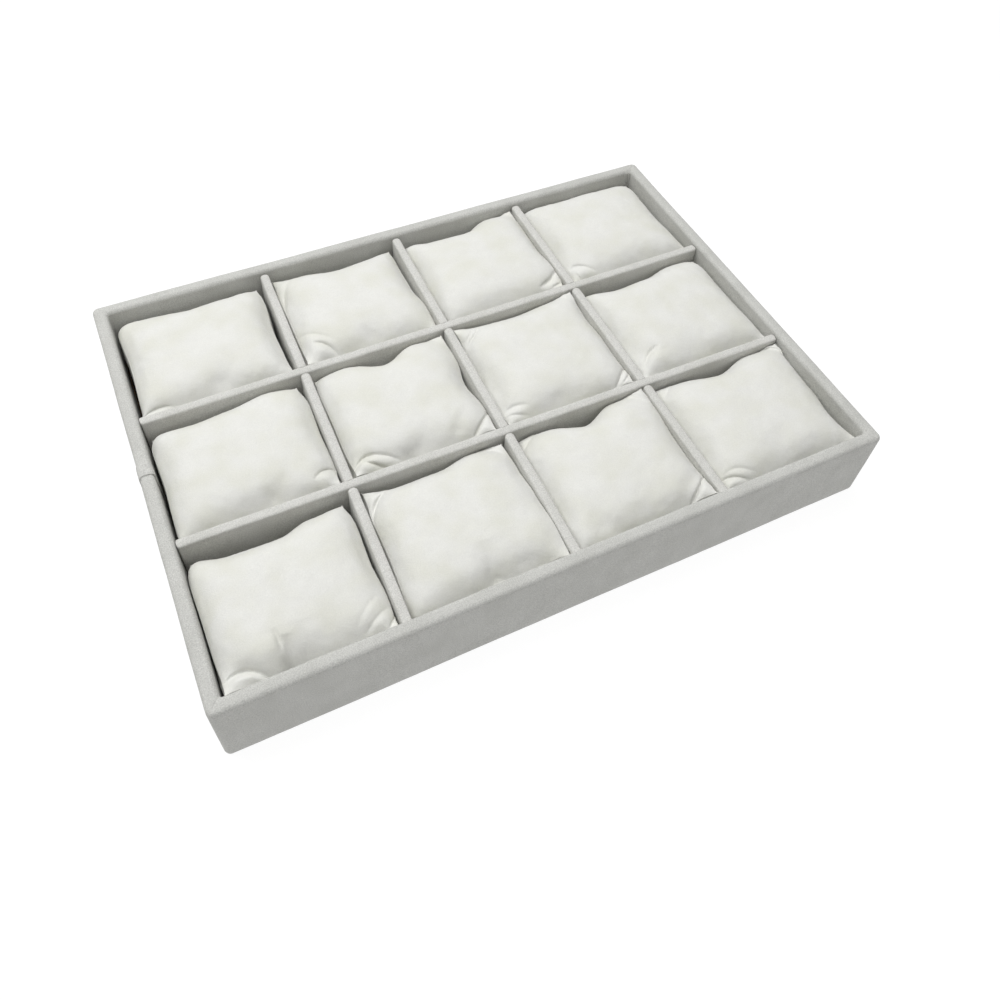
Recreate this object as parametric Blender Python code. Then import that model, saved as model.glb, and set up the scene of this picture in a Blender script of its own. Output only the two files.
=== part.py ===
"""Cushioned display tray: a cloth-covered box of twelve compartments with a loose pillow in each.

Lengths are in metres and +Z is up. The origin is the middle of the underside. X runs along the
tray's long side, and the front wall is the one at -Y.
"""
import math

import bmesh
import bpy

# Outside of the tray
tray_length = 0.350
tray_width = 0.2474
tray_height = 0.0468

# Boards and sheets
cloth_thickness = 0.0008
lining_thickness = 0.0008
underside_cover_thickness = 0.0006
base_board_thickness = 0.0030
wall_board_thickness = 0.0044
divider_board_thickness = 0.0028

# Clearance between two pieces that touch
seat_gap = 0.0003

# Edges and corners
wall_board_edge_radius = 0.0009
divider_board_edge_radius = 0.0005
foot_edge_radius = 0.0010
tray_corner_radius = 0.0012
room_corner_radius = 0.0005
edge_steps = 3
corner_steps = 2

# Cloth round the walls
hem_width = 0.010
cloth_joint_width = 0.0003
cloth_joint_place_share = 0.012
underside_cover_inset = 0.0035

# Dividers, with the shares of a compartment's pitch by which each was set off its place and leans
divider_drop = 0.0018
column_shift_shares = (0.025, 0.0, -0.040)
column_lean_shares = (0.069, 0.036, 0.016)
row_shift_shares = (-0.015, -0.007)
row_lean_shares = (0.023, -0.036)
compartment_columns = len(column_shift_shares) + 1
compartment_rows = len(row_shift_shares) + 1
cutter_overrun = 0.002

# Pillows
pillow_crown_drop = 0.0008
pillow_seam_share = 0.52
pillow_side_gap = 0.0007
left_column_side_gap = 0.0022
cover_cloth_thickness = 0.0009
filling_gap = 0.0008
turning_gap_height = 0.0016
draw_in_share = 0.03
swell_power = 0.26
underside_swell_share = 1.30
corner_filling_share = 0.10
corner_power = 3
outside_steps = 10
inside_steps = 6

# Lift of each pillow's back left, back right, front right and front left corner, as a share of its crown
corner_lift_shares = {
    "r1c1": (0.30, 0.55, 0.30, 0.60),
    "r1c2": (0.50, 0.60, 0.25, 0.60),
    "r1c3": (0.15, 0.85, 0.70, 0.30),
    "r1c4": (0.30, 0.75, 0.25, 0.65),
    "r2c1": (0.40, 0.65, 0.60, 0.20),
    "r2c2": (0.20, 0.85, 0.65, 0.60),
    "r2c3": (0.65, 0.75, 0.65, 0.45),
    "r2c4": (0.20, 0.75, 0.35, 0.65),
    "r3c1": (0.30, 0.70, 0.50, 0.60),
    "r3c2": (0.65, 0.70, 0.60, 0.25),
    "r3c3": (0.50, 0.85, 0.65, 0.35),
    "r3c4": (0.30, 0.75, 0.60, 0.60),
}

# How far each pillow's corners are tucked back from the compartment's corners, in the same order
corner_tuck_shares = {
    "r1c1": (0.08, 0.03, 0.03, 0.10),
    "r1c2": (0.06, 0.03, 0.02, 0.14),
    "r1c3": (0.02, 0.00, 0.12, 0.03),
    "r1c4": (0.02, 0.04, 0.02, 0.08),
    "r2c1": (0.06, 0.02, 0.10, 0.03),
    "r2c2": (0.04, 0.00, 0.10, 0.12),
    "r2c3": (0.08, 0.02, 0.12, 0.06),
    "r2c4": (0.03, 0.04, 0.02, 0.12),
    "r3c1": (0.05, 0.03, 0.04, 0.12),
    "r3c2": (0.10, 0.06, 0.00, 0.03),
    "r3c3": (0.06, 0.02, 0.10, 0.03),
    "r3c4": (0.04, 0.05, 0.00, 0.10),
}

# Heights that follow from the stack of sheets and boards
hem_bottom = underside_cover_thickness + seat_gap
hem_top = hem_bottom + cloth_thickness
base_bottom = hem_top + seat_gap
base_top = base_bottom + base_board_thickness
wall_bottom = base_top + seat_gap
floor_top = wall_bottom + lining_thickness
divider_bottom = floor_top + seat_gap
divider_top = tray_height - divider_drop
halving_height = (divider_bottom + divider_top) / 2

# Thicknesses and radii over the cloth
cloth_and_gap = cloth_thickness + seat_gap
wall_thickness = wall_board_thickness + 2 * cloth_and_gap
divider_thickness = divider_board_thickness + 2 * cloth_and_gap
rim_inside_radius = wall_board_edge_radius + seat_gap
rim_radius = rim_inside_radius + cloth_thickness
divider_inside_radius = divider_board_edge_radius + seat_gap
divider_radius = divider_inside_radius + cloth_thickness

# The room inside the walls
room_length = tray_length - 2 * wall_thickness
room_width = tray_width - 2 * wall_thickness
column_pitch = (room_length + divider_thickness) / compartment_columns
row_pitch = (room_width + divider_thickness) / compartment_rows

# Pillow heights
pillow_rest = floor_top + seat_gap
pillow_crown = tray_height - pillow_crown_drop
pillow_seam = pillow_rest + pillow_seam_share * (pillow_crown - pillow_rest)


def clear_scene():
    for item in list(bpy.data.objects):
        bpy.data.objects.remove(item)


def make_material(name, colour, roughness, metallic=0.0):
    material = bpy.data.materials.new(name)
    material.use_nodes = True
    shader = material.node_tree.nodes["Principled BSDF"]
    shader.inputs["Base Color"].default_value = (*colour, 1.0)
    shader.inputs["Roughness"].default_value = roughness
    shader.inputs["Metallic"].default_value = metallic
    return material


def add_object(name, bm, material, location=(0, 0, 0), turn=0.0):
    """Makes one named object of a finished bmesh and shades its rounds smooth."""
    mesh = bpy.data.meshes.new(name)
    bm.to_mesh(mesh)
    bm.free()
    mesh.materials.append(material)
    mesh.shade_smooth()
    mesh.set_sharp_from_angle(angle=math.radians(35))
    item = bpy.data.objects.new(name, mesh)
    item.location = location
    item.rotation_euler.z = turn
    bpy.context.collection.objects.link(item)
    return item


def arc(across, up, radius, start, end, steps):
    """Points of an arc in a section, with angles in degrees from the across direction."""
    angles = [math.radians(start + (end - start) * step / steps) for step in range(steps + 1)]
    return [(across + radius * math.cos(a), up + radius * math.sin(a)) for a in angles]


def box_between(low, high):
    bm = bmesh.new()
    bmesh.ops.create_cube(bm, size=1)
    for vertex in bm.verts:
        shares = [value + 0.5 for value in vertex.co]
        vertex.co = [low[k] + shares[k] * (high[k] - low[k]) for k in range(3)]
    return bm


def extrude_section(section, length):
    """Pulls a closed outline of (y, z) points out along X, centred on the origin."""
    bm = bmesh.new()
    start = bm.faces.new([bm.verts.new((-length / 2, y, z)) for y, z in section])
    pulled = bmesh.ops.extrude_face_region(bm, geom=[start])
    end_verts = [item for item in pulled["geom"] if isinstance(item, bmesh.types.BMVert)]
    bmesh.ops.translate(bm, vec=(length, 0, 0), verts=end_verts)
    bmesh.ops.recalc_face_normals(bm, faces=bm.faces)
    return bm


def round_topped_outline(thickness, bottom, top, radius):
    """The outline of an upright board with both top edges rounded, from bottom right to bottom left."""
    half = thickness / 2
    right = arc(half - radius, top - radius, radius, 0, 90, edge_steps)
    left = arc(radius - half, top - radius, radius, 90, 180, edge_steps)
    return [(half, bottom), *right, *left, (-half, bottom)]


# Base and linings


def build_underside_cover(material):
    half_length = tray_length / 2 - underside_cover_inset
    half_width = tray_width / 2 - underside_cover_inset
    bm = box_between((-half_length, -half_width, 0), (half_length, half_width, underside_cover_thickness))
    return add_object("underside_cover", bm, material)


def build_base_board(material):
    half_length = tray_length / 2 - cloth_and_gap
    half_width = tray_width / 2 - cloth_and_gap
    bm = box_between((-half_length, -half_width, base_bottom), (half_length, half_width, base_top))
    return add_object("base_board", bm, material)


def build_floor_lining(material):
    half_length = room_length / 2 - seat_gap
    half_width = room_width / 2 - seat_gap
    bm = box_between((-half_length, -half_width, wall_bottom), (half_length, half_width, floor_top))
    return add_object("floor_lining", bm, material)


# Walls


def wall_board(name, length, location, turn, round_ends, material):
    """A wall's board, standing on the base, with its top edges rounded for the cloth."""
    half = wall_board_thickness / 2
    top = tray_height - cloth_and_gap
    bm = box_between((-length / 2, -half, wall_bottom), (length / 2, half, top))
    level = (wall_bottom + top) / 2
    rims = [edge for edge in bm.edges if all(vertex.co.z > level for vertex in edge.verts)]
    if not round_ends:
        rims = [edge for edge in rims if edge.verts[0].co.x * edge.verts[1].co.x < 0]
    bmesh.ops.bevel(
        bm, geom=rims, offset=wall_board_edge_radius, segments=edge_steps, profile=0.5, affect="EDGES"
    )
    return add_object(name, bm, material, location, turn)


def build_wall_boards(material):
    centre_inset = cloth_and_gap + wall_board_thickness / 2
    long_board = tray_length - 2 * cloth_and_gap
    short_board = tray_width - 2 * (cloth_and_gap + wall_board_thickness + seat_gap)
    front_place = (0, centre_inset - tray_width / 2, 0)
    back_place = (0, tray_width / 2 - centre_inset, 0)
    left_place = (centre_inset - tray_length / 2, 0, 0)
    right_place = (tray_length / 2 - centre_inset, 0, 0)
    quarter_turn = math.pi / 2
    wall_board("front_wall_board", long_board, front_place, 0, True, material)
    wall_board("back_wall_board", long_board, back_place, 0, True, material)
    wall_board("left_wall_board", short_board, left_place, quarter_turn, False, material)
    wall_board("right_wall_board", short_board, right_place, quarter_turn, False, material)


def wall_cloth_section():
    """The cloth's section as (inset from the outer face, height): hem, outside, rim and room side."""
    outer_bend = (rim_radius, tray_height - rim_radius)
    room_bend = (wall_thickness - rim_radius, tray_height - rim_radius)
    section = [(hem_width, hem_bottom)]
    section += arc(foot_edge_radius, hem_bottom + foot_edge_radius, foot_edge_radius, 270, 180, edge_steps)
    section += arc(*outer_bend, rim_radius, 180, 90, edge_steps)
    section += arc(*room_bend, rim_radius, 90, 0, edge_steps)
    section += [(wall_thickness, wall_bottom), (wall_thickness - cloth_thickness, wall_bottom)]
    section += arc(*room_bend, rim_inside_radius, 0, 90, edge_steps)
    section += arc(*outer_bend, rim_inside_radius, 90, 180, edge_steps)
    section += [(cloth_thickness, hem_top), (hem_width, hem_top)]
    return section


def loop_round_tray(inset):
    """Points round the tray at one inset, from the cloth's joint on the left wall by the front."""
    half_length = tray_length / 2 - inset
    half_width = tray_width / 2 - inset
    radius = max(tray_corner_radius - inset, room_corner_radius)
    joint = cloth_joint_place_share * tray_width
    points = [(-half_length, joint - cloth_joint_width / 2)]
    for side_x, side_y, start in ((-1, -1, 180), (1, -1, 270), (1, 1, 0), (-1, 1, 90)):
        centre_x = side_x * (half_length - radius)
        centre_y = side_y * (half_width - radius)
        points += arc(centre_x, centre_y, radius, start, start + 90, corner_steps)
    points.append((-half_length, joint + cloth_joint_width / 2))
    return points


def build_wall_cloth(material):
    """One strip of cloth round all four walls, its two ends meeting on the left wall."""
    bm = bmesh.new()
    rows = []
    for inset, height in wall_cloth_section():
        rows.append([bm.verts.new((x, y, height)) for x, y in loop_round_tray(inset)])
    for row, following in zip(rows, rows[1:] + rows[:1]):
        for k in range(len(row) - 1):
            bm.faces.new((row[k], row[k + 1], following[k + 1], following[k]))
    bm.faces.new([row[0] for row in rows])
    bm.faces.new([row[-1] for row in rows])
    bmesh.ops.recalc_face_normals(bm, faces=bm.faces)
    return add_object("wall_cloth", bm, material)


# Dividers


def column_line(column):
    """Where a column divider crosses the tray's middle, and how far it leans for each metre back."""
    place = (column - compartment_columns / 2) * column_pitch
    shift = column_shift_shares[column - 1] * column_pitch
    lean = column_lean_shares[column - 1] * column_pitch / room_width
    return place + shift, lean


def row_line(row):
    """Where a row divider crosses the tray's middle, and how far it leans for each metre right."""
    place = (compartment_rows / 2 - row) * row_pitch
    shift = row_shift_shares[row - 1] * row_pitch
    lean = row_lean_shares[row - 1] * row_pitch / room_length
    return place + shift, lean


def crossing(column, row):
    """The point shared by a line x = place + lean * y and a line y = place + lean * x."""
    x = (column[0] + column[1] * row[0]) / (1 - column[1] * row[1])
    return x, row[0] + row[1] * x


def add_slot(item, place, width, low, high):
    """Cuts a slot across a divider, at a distance along it from its middle."""
    depth = divider_thickness / 2 + cutter_overrun
    cutter_mesh = box_between((place - width / 2, -depth, low), (place + width / 2, depth, high))
    cutter = add_object(f"{item.name}_slot_cutter", cutter_mesh, item.data.materials[0])
    cutter.parent = item
    cutter.hide_render = True
    cutter.display_type = "WIRE"
    cut = item.modifiers.new("slot", "BOOLEAN")
    cut.operation = "DIFFERENCE"
    cut.solver = "EXACT"
    cut.object = cutter


def divider(name, length, location, turn, slots, from_above, board_material, cloth_material):
    """A board and the cloth folded over it, both slotted to half their height where dividers cross."""
    board_outline = round_topped_outline(
        divider_board_thickness, divider_bottom, divider_top - cloth_and_gap, divider_board_edge_radius
    )
    outside = round_topped_outline(divider_thickness, divider_bottom, divider_top, divider_radius)
    inside = round_topped_outline(
        divider_thickness - 2 * cloth_thickness,
        divider_bottom,
        divider_top - cloth_thickness,
        divider_inside_radius,
    )
    board = add_object(f"{name}_board", extrude_section(board_outline, length), board_material, location, turn)
    folded = outside + inside[::-1]
    cloth = add_object(f"{name}_cloth", extrude_section(folded, length), cloth_material, location, turn)
    for place, width in slots:
        for item in (board, cloth):
            if from_above:
                add_slot(item, place, width, halving_height - seat_gap / 2, divider_top + cutter_overrun)
            else:
                add_slot(item, place, width, divider_bottom - cutter_overrun, halving_height + seat_gap / 2)


def slot_width(own_lean, other_lean):
    """The width that clears a crossing divider which isn't quite square to this one."""
    angle = abs(math.atan(own_lean) + math.atan(other_lean))
    return divider_thickness / math.cos(angle) + divider_thickness * math.tan(angle) + 2 * seat_gap


def fitted_length(span, lean):
    """The length of a leaning divider whose square ends just clear two facing walls."""
    angle = math.atan(abs(lean))
    return (span - 2 * seat_gap) / math.cos(angle) - divider_thickness * math.tan(angle)


def build_dividers(board_material, cloth_material):
    columns = [column_line(column) for column in range(1, compartment_columns)]
    rows = [row_line(row) for row in range(1, compartment_rows)]
    for number, row in enumerate(rows, start=1):
        stretch = math.hypot(1, row[1])
        slots = [(crossing(column, row)[0] * stretch, slot_width(row[1], column[1])) for column in columns]
        length = fitted_length(room_length, row[1])
        place = (0, row[0], 0)
        turn = math.atan(row[1])
        divider(f"row_divider_{number}", length, place, turn, slots, False, board_material, cloth_material)
    for number, column in enumerate(columns, start=1):
        stretch = math.hypot(1, column[1])
        slots = [(crossing(column, row)[1] * stretch, slot_width(column[1], row[1])) for row in rows]
        length = fitted_length(room_width, column[1])
        place = (column[0], 0, 0)
        turn = math.pi / 2 - math.atan(column[1])
        divider(f"column_divider_{number}", length, place, turn, slots, True, board_material, cloth_material)


# Pillows


def compartment_corners(row, column):
    """The plan corners of the space a pillow may fill, from back left round by the back right."""
    half = divider_thickness / 2
    columns = [(-room_length / 2, 0)] + [column_line(k) for k in range(1, compartment_columns)]
    columns.append((room_length / 2, 0))
    rows = [(room_width / 2, 0)] + [row_line(k) for k in range(1, compartment_rows)]
    rows.append((-room_width / 2, 0))
    left_gap = left_column_side_gap if column == 1 else half + pillow_side_gap
    right_gap = pillow_side_gap if column == compartment_columns else half + pillow_side_gap
    back_gap = pillow_side_gap if row == 1 else half + pillow_side_gap
    front_gap = pillow_side_gap if row == compartment_rows else half + pillow_side_gap
    left = (columns[column - 1][0] + left_gap, columns[column - 1][1])
    right = (columns[column][0] - right_gap, columns[column][1])
    back = (rows[row - 1][0] - back_gap, rows[row - 1][1])
    front = (rows[row][0] + front_gap, rows[row][1])
    return [crossing(left, back), crossing(right, back), crossing(right, front), crossing(left, front)]


def corner_weights(u, v):
    """How near a point is to each corner: back left, back right, front right and front left."""
    left, right = (1 - u) / 2, (1 + u) / 2
    back, front = (1 + v) / 2, (1 - v) / 2
    return (left * back, right * back, right * front, left * front)


def pillow_point(name, corners, u, v, upper, inset):
    """A point of the pillow; u and v run from -1 to 1, left to right and front to back.

    A point with an inset lies that far under the surface, and keeps out of the thin corners,
    where the seam allowance is bunched.
    """
    weights = corner_weights(u, v)
    pinch = abs(u * v) ** corner_power
    tuck = sum(weight * share for weight, share in zip(weights, corner_tuck_shares[name]))
    lift = sum(weight * share for weight, share in zip(weights, corner_lift_shares[name]))
    filled = corner_filling_share * inset / cover_cloth_thickness
    reach = 1 - pinch * (tuck + filled)
    half_size = min(column_pitch, row_pitch) / 2
    shrink = 1 - inset / half_size
    across = u * reach * shrink * (1 - draw_in_share * (1 - v * v))
    along = v * reach * shrink * (1 - draw_in_share * (1 - u * u))
    places = corner_weights(across, along)
    x = sum(weight * corner[0] for weight, corner in zip(places, corners))
    y = sum(weight * corner[1] for weight, corner in zip(places, corners))
    swell = max((1 - u * u) * (1 - v * v), 0) ** swell_power
    seam_lift = lift * abs(across * along) ** corner_power
    seam = pillow_seam + seam_lift * (pillow_crown - pillow_seam)
    if upper:
        return x, y, seam + (pillow_crown - inset - pillow_seam) * swell * (1 - pinch)
    sunk = seam - underside_swell_share * (pillow_seam - pillow_rest) * swell
    return x, y, max(sunk, pillow_rest + inset)


def add_panels(bm, name, corners, steps, inset, centre, slit_height, facing_out):
    """Adds a pillow's top and bottom panel, joined at their seam, and returns the slit's rim."""
    grid = {}
    middle = steps // 2
    for i in range(steps + 1):
        for j in range(steps + 1):
            u = math.sin(math.pi * (i / steps - 0.5))
            v = math.sin(math.pi * (j / steps - 0.5))
            on_seam = i in (0, steps) or j in (0, steps)
            in_slit = slit_height > 0 and i == middle and j == 0
            for upper in (True, False):
                if on_seam and not in_slit and not upper:
                    grid[i, j, upper] = grid[i, j, True]
                    continue
                point = list(pillow_point(name, corners, u, v, upper, inset))
                if in_slit:
                    point[2] += slit_height / 2 if upper else -slit_height / 2
                grid[i, j, upper] = bm.verts.new([a - b for a, b in zip(point, centre)])
    for upper in (True, False):
        for i in range(steps):
            for j in range(steps):
                around = [grid[a, b, upper] for a, b in ((i, j), (i + 1, j), (i + 1, j + 1), (i, j + 1))]
                first = 0 if (i < middle) == (j < middle) else 1
                around = around[first:] + around[:first]
                if upper != facing_out:
                    around = [around[0], *around[:0:-1]]
                bm.faces.new(around[:3])
                bm.faces.new((around[2], around[3], around[0]))
    before, after = grid[middle - 1, 0, True], grid[middle + 1, 0, True]
    return [before, grid[middle, 0, True], after, grid[middle, 0, False]]


def build_pillow(row, column, cover_material, filling_material):
    name = f"r{row}c{column}"
    corners = compartment_corners(row, column)
    centre = (sum(c[0] for c in corners) / 4, sum(c[1] for c in corners) / 4, pillow_rest)
    cover = bmesh.new()
    outside_rim = add_panels(cover, name, corners, outside_steps, 0, centre, turning_gap_height, True)
    inside_rim = add_panels(
        cover, name, corners, inside_steps, cover_cloth_thickness, centre, turning_gap_height, False
    )
    for k in range(4):
        following = (k + 1) % 4
        cover.faces.new((outside_rim[following], outside_rim[k], inside_rim[k], inside_rim[following]))
    add_object(f"pillow_cover_{name}", cover, cover_material, centre)
    filling = bmesh.new()
    filling_inset = cover_cloth_thickness + filling_gap
    add_panels(filling, name, corners, inside_steps, filling_inset, centre, 0, True)
    add_object(f"pillow_filling_{name}", filling, filling_material, centre)


def build_pillows(cover_material, filling_material):
    for row in range(1, compartment_rows + 1):
        for column in range(1, compartment_columns + 1):
            build_pillow(row, column, cover_material, filling_material)


def main():
    clear_scene()
    velvet = make_material("light_grey_velvet", (0.66, 0.66, 0.63), 0.95)
    pillow_velvet = make_material("off_white_velvet", (0.81, 0.81, 0.77), 0.95)
    board = make_material("fibreboard", (0.42, 0.31, 0.20), 0.85)
    divider_board = make_material("grey_card", (0.45, 0.44, 0.42), 0.90)
    dark_lining = make_material("dark_lining", (0.03, 0.03, 0.03), 0.95)
    paper = make_material("black_paper", (0.04, 0.04, 0.04), 0.80)
    wadding = make_material("white_wadding", (0.88, 0.88, 0.88), 1.0)
    build_underside_cover(paper)
    build_base_board(board)
    build_floor_lining(dark_lining)
    build_wall_boards(board)
    build_wall_cloth(velvet)
    build_dividers(divider_board, velvet)
    build_pillows(pillow_velvet, wadding)


main()
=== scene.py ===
# %% [markdown]
# # A cushioned tray in velvet
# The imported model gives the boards, the folded cloth and twelve plain pillows, all at their real size.
# This lesson dresses them. Every piece that shows is rebuilt with the softness of the real one, and every
# surface gets its finish. Sizes are in metres, +X runs along the tray's long side and +Z is up.

# %% Load the model
import math

import bmesh
import bpy
import numpy as np
from mathutils import Matrix, Vector, noise


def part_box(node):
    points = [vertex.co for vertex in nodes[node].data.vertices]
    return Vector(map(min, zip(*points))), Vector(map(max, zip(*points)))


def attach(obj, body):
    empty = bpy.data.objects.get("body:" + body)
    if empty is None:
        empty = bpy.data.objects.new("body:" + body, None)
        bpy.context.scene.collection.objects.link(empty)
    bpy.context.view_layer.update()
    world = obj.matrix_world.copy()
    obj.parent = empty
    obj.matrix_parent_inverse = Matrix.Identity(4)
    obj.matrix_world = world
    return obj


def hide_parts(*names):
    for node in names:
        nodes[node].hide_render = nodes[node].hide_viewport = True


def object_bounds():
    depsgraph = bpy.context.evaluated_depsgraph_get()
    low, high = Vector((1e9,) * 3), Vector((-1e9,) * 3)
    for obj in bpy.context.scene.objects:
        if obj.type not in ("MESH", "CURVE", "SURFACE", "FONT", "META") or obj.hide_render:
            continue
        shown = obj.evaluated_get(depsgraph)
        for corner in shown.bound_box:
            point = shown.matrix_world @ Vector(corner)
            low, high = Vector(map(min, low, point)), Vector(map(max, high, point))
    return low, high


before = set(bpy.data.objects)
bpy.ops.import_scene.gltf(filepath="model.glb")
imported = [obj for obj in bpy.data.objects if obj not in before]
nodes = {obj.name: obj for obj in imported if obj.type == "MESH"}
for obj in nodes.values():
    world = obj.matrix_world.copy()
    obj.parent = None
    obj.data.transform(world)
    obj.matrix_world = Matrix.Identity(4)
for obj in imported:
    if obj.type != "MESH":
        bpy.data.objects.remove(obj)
model_low, model_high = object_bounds()
tray_size = model_high - model_low
print("tray", [round(side * 1000, 1) for side in tray_size], "mm")

# %% [markdown]
# ## The camera
# The camera stands where the photographer stood: in front of the tray, to its left, looking down at about
# fifty degrees. Its place was solved from the tray's corners, whose places in the picture are known. The
# picture was cropped off centre, and a small lens shift repeats that crop without tilting the view.

# %% Camera
picture_side = 1000
focal_length_pixels = 918.0
optical_centre_pixels = (483.56, 385.43)
camera_place = Vector((-0.14599, -0.28372, 0.41866))
camera_target = Vector((0.01895, 0.02333, 0.0))
camera_roll = math.radians(3.85)
sensor_width = 36.0


def add_object(name, data):
    """Puts an object with its data into the scene."""
    thing = bpy.data.objects.new(name, data)
    bpy.context.collection.objects.link(thing)
    return thing


def make_camera():
    data = bpy.data.cameras.new("camera")
    data.sensor_width = sensor_width
    data.lens = focal_length_pixels * sensor_width / picture_side
    data.shift_x = (picture_side / 2 - optical_centre_pixels[0]) / picture_side
    data.shift_y = (optical_centre_pixels[1] - picture_side / 2) / picture_side
    camera = add_object("camera", data)
    look = (camera_target - camera_place).to_track_quat("-Z", "Y")
    turn = look.to_matrix().to_4x4() @ Matrix.Rotation(camera_roll, 4, "Z")
    camera.matrix_world = Matrix.Translation(camera_place) @ turn
    bpy.context.scene.camera = camera
    return camera.matrix_world.copy()


camera_matrix = make_camera()
print("camera", [round(value, 3) for value in camera_matrix.translation])


# %% [markdown]
# ## Light and floor
# The tray was photographed under one broad soft light overhead and a little behind it, so its top faces
# are bright while its front is in half shade. A large area light gives that falloff, and a weak white
# world fills the shadows, as the walls of a studio would.

# %% Light and floor
floor_half_side = 3.0
floor_gap = 0.0002
key_light_side = 1.3
key_light_place = Vector((-0.14, 0.22, 1.05))
key_light_watts = 15.0
fill_strength = 0.205
white = (1, 1, 1, 1)

# The four corners of a rectangle, as the signs of X and Y, from front left round by front right
corner_signs = ((-1, -1), (1, -1), (1, 1), (-1, 1))


def make_floor():
    mesh = bpy.data.meshes.new("floor")
    corners = [(sx * floor_half_side, sy * floor_half_side, -floor_gap) for sx, sy in corner_signs]
    mesh.from_pydata(corners, [], [(0, 1, 2, 3)])
    floor = add_object("floor", mesh)
    return floor


def make_key_light():
    data = bpy.data.lights.new("key_light", "AREA")
    data.size = key_light_side
    data.energy = key_light_watts
    light = add_object("key_light", data)
    light.location = key_light_place
    light.rotation_euler = (-key_light_place).to_track_quat("-Z", "Y").to_euler()


def make_world():
    world = bpy.data.worlds.new("studio")
    world.use_nodes = True
    background = world.node_tree.nodes["Background"]
    background.inputs["Color"].default_value = white
    background.inputs["Strength"].default_value = fill_strength
    bpy.context.scene.world = world


floor = make_floor()
make_key_light()
make_world()
bpy.context.scene.view_settings.view_transform = "Standard"
print("floor", 2 * floor_half_side, "m wide, key light", key_light_watts, "W")

# %% [markdown]
# ## Sums on sockets
# A material is a sum of patterns. Written as nodes and links, even a short sum is hard to read, so a small
# class wraps a socket and lets Python's operators add the Math nodes. Geometry nodes use the same Math
# nodes, and the same class serves both.


# %% Sums on sockets
def add_node(tree, kind, inputs=None, settings=None):
    """Adds a node: its settings first, then a value or a link for each named input."""
    node = tree.nodes.new(kind)
    for name, value in (settings or {}).items():
        setattr(node, name, value)
    for name, value in (inputs or {}).items():
        if isinstance(value, Wire):
            tree.links.new(value.socket, node.inputs[name])
        else:
            node.inputs[name].default_value = value
    return node


class Wire:
    """An output socket that can be used in Python sums."""

    def __init__(self, socket):
        self.socket = socket

    def math(self, operation, first, second=0.0):
        tree = self.socket.id_data
        return wire_from(tree, "ShaderNodeMath", {0: first, 1: second}, {"operation": operation})

    def __add__(self, other):
        return self.math("ADD", self, other)

    def __radd__(self, other):
        return self.math("ADD", other, self)

    def __sub__(self, other):
        return self.math("SUBTRACT", self, other)

    def __rsub__(self, other):
        return self.math("SUBTRACT", other, self)

    def __mul__(self, other):
        return self.math("MULTIPLY", self, other)

    def __rmul__(self, other):
        return self.math("MULTIPLY", other, self)

    def __truediv__(self, other):
        return self.math("DIVIDE", self, other)

    def __rtruediv__(self, other):
        return self.math("DIVIDE", other, self)

    def __pow__(self, other):
        return self.math("POWER", self, other)

    def __rpow__(self, other):
        return self.math("POWER", other, self)

    def least(self, other):
        return self.math("MINIMUM", self, other)

    def most(self, other):
        return self.math("MAXIMUM", self, other)

    def call(self, operation):
        return self.math(operation, self)


def wire_from(tree, kind, inputs=None, settings=None, output=0):
    """Adds a node and gives the wire from one of its outputs."""
    return Wire(add_node(tree, kind, inputs, settings).outputs[output])


def vector(tree, **parts):
    """The vector whose X, Y and Z are the given wires or numbers, and 0 where none is given."""
    return wire_from(tree, "ShaderNodeCombineXYZ", parts)


# %% [markdown]
# ## Parts of a material
# Every finish here is cloth, board or fibre: matt, uneven and without a printed pattern. A picture of each
# could be wrapped round the pieces, but it would have to be unwrapped, and it would blur close up. Noise
# does neither, so each finish is a matt shader with noise of a chosen size and colours mixed by it.

# %% Parts of a material
no_stretch = (1, 1, 1)
plain_detail = 2.0
soft_specular = 0.2

# A Mix node has sockets of several kinds under the same names, so its colour sockets are found by number
first_colour, second_colour, mixed_colour = 6, 7, 2


def new_material(name, roughness, sheen=0.0):
    material = bpy.data.materials.new(name)
    material.use_nodes = True
    shader = material.node_tree.nodes["Principled BSDF"]
    shader.inputs["Roughness"].default_value = roughness
    shader.inputs["Sheen Weight"].default_value = sheen
    shader.inputs["Specular IOR Level"].default_value = soft_specular
    return material, material.node_tree, shader


def noise_of(tree, size, detail=plain_detail, stretch=no_stretch):
    """A noise pattern, from 0 to 1, whose spots are about a given size."""
    place = wire_from(tree, "ShaderNodeTexCoord", output="Object")
    scaled = wire_from(tree, "ShaderNodeMapping", {"Vector": place, "Scale": stretch})
    inputs = {"Vector": scaled, "Scale": 1 / size, "Detail": detail}
    return wire_from(tree, "ShaderNodeTexNoise", inputs, output="Fac")


def mix_colours(tree, factor, first, second, blend="MIX"):
    settings = {"data_type": "RGBA", "blend_type": blend}
    mixed = add_node(tree, "ShaderNodeMix", {"Factor": factor}, settings)
    for number, colour in ((first_colour, first), (second_colour, second)):
        if isinstance(colour, Wire):
            tree.links.new(colour.socket, mixed.inputs[number])
        else:
            mixed.inputs[number].default_value = (*colour, 1)
    return Wire(mixed.outputs[mixed_colour])


def shift_contrast(pattern, low, high):
    """Stretches the middle of a noise pattern to run from 0 to 1."""
    return ((pattern - low) / (high - low)).least(1.0).most(0.0)


def add_bump(tree, shader, height, distance):
    bump = wire_from(tree, "ShaderNodeBump", {"Height": height, "Distance": distance})
    tree.links.new(bump.socket, shader.inputs["Normal"])


print("colours of a Mix node are at", first_colour, second_colour, "and", mixed_colour)

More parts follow.
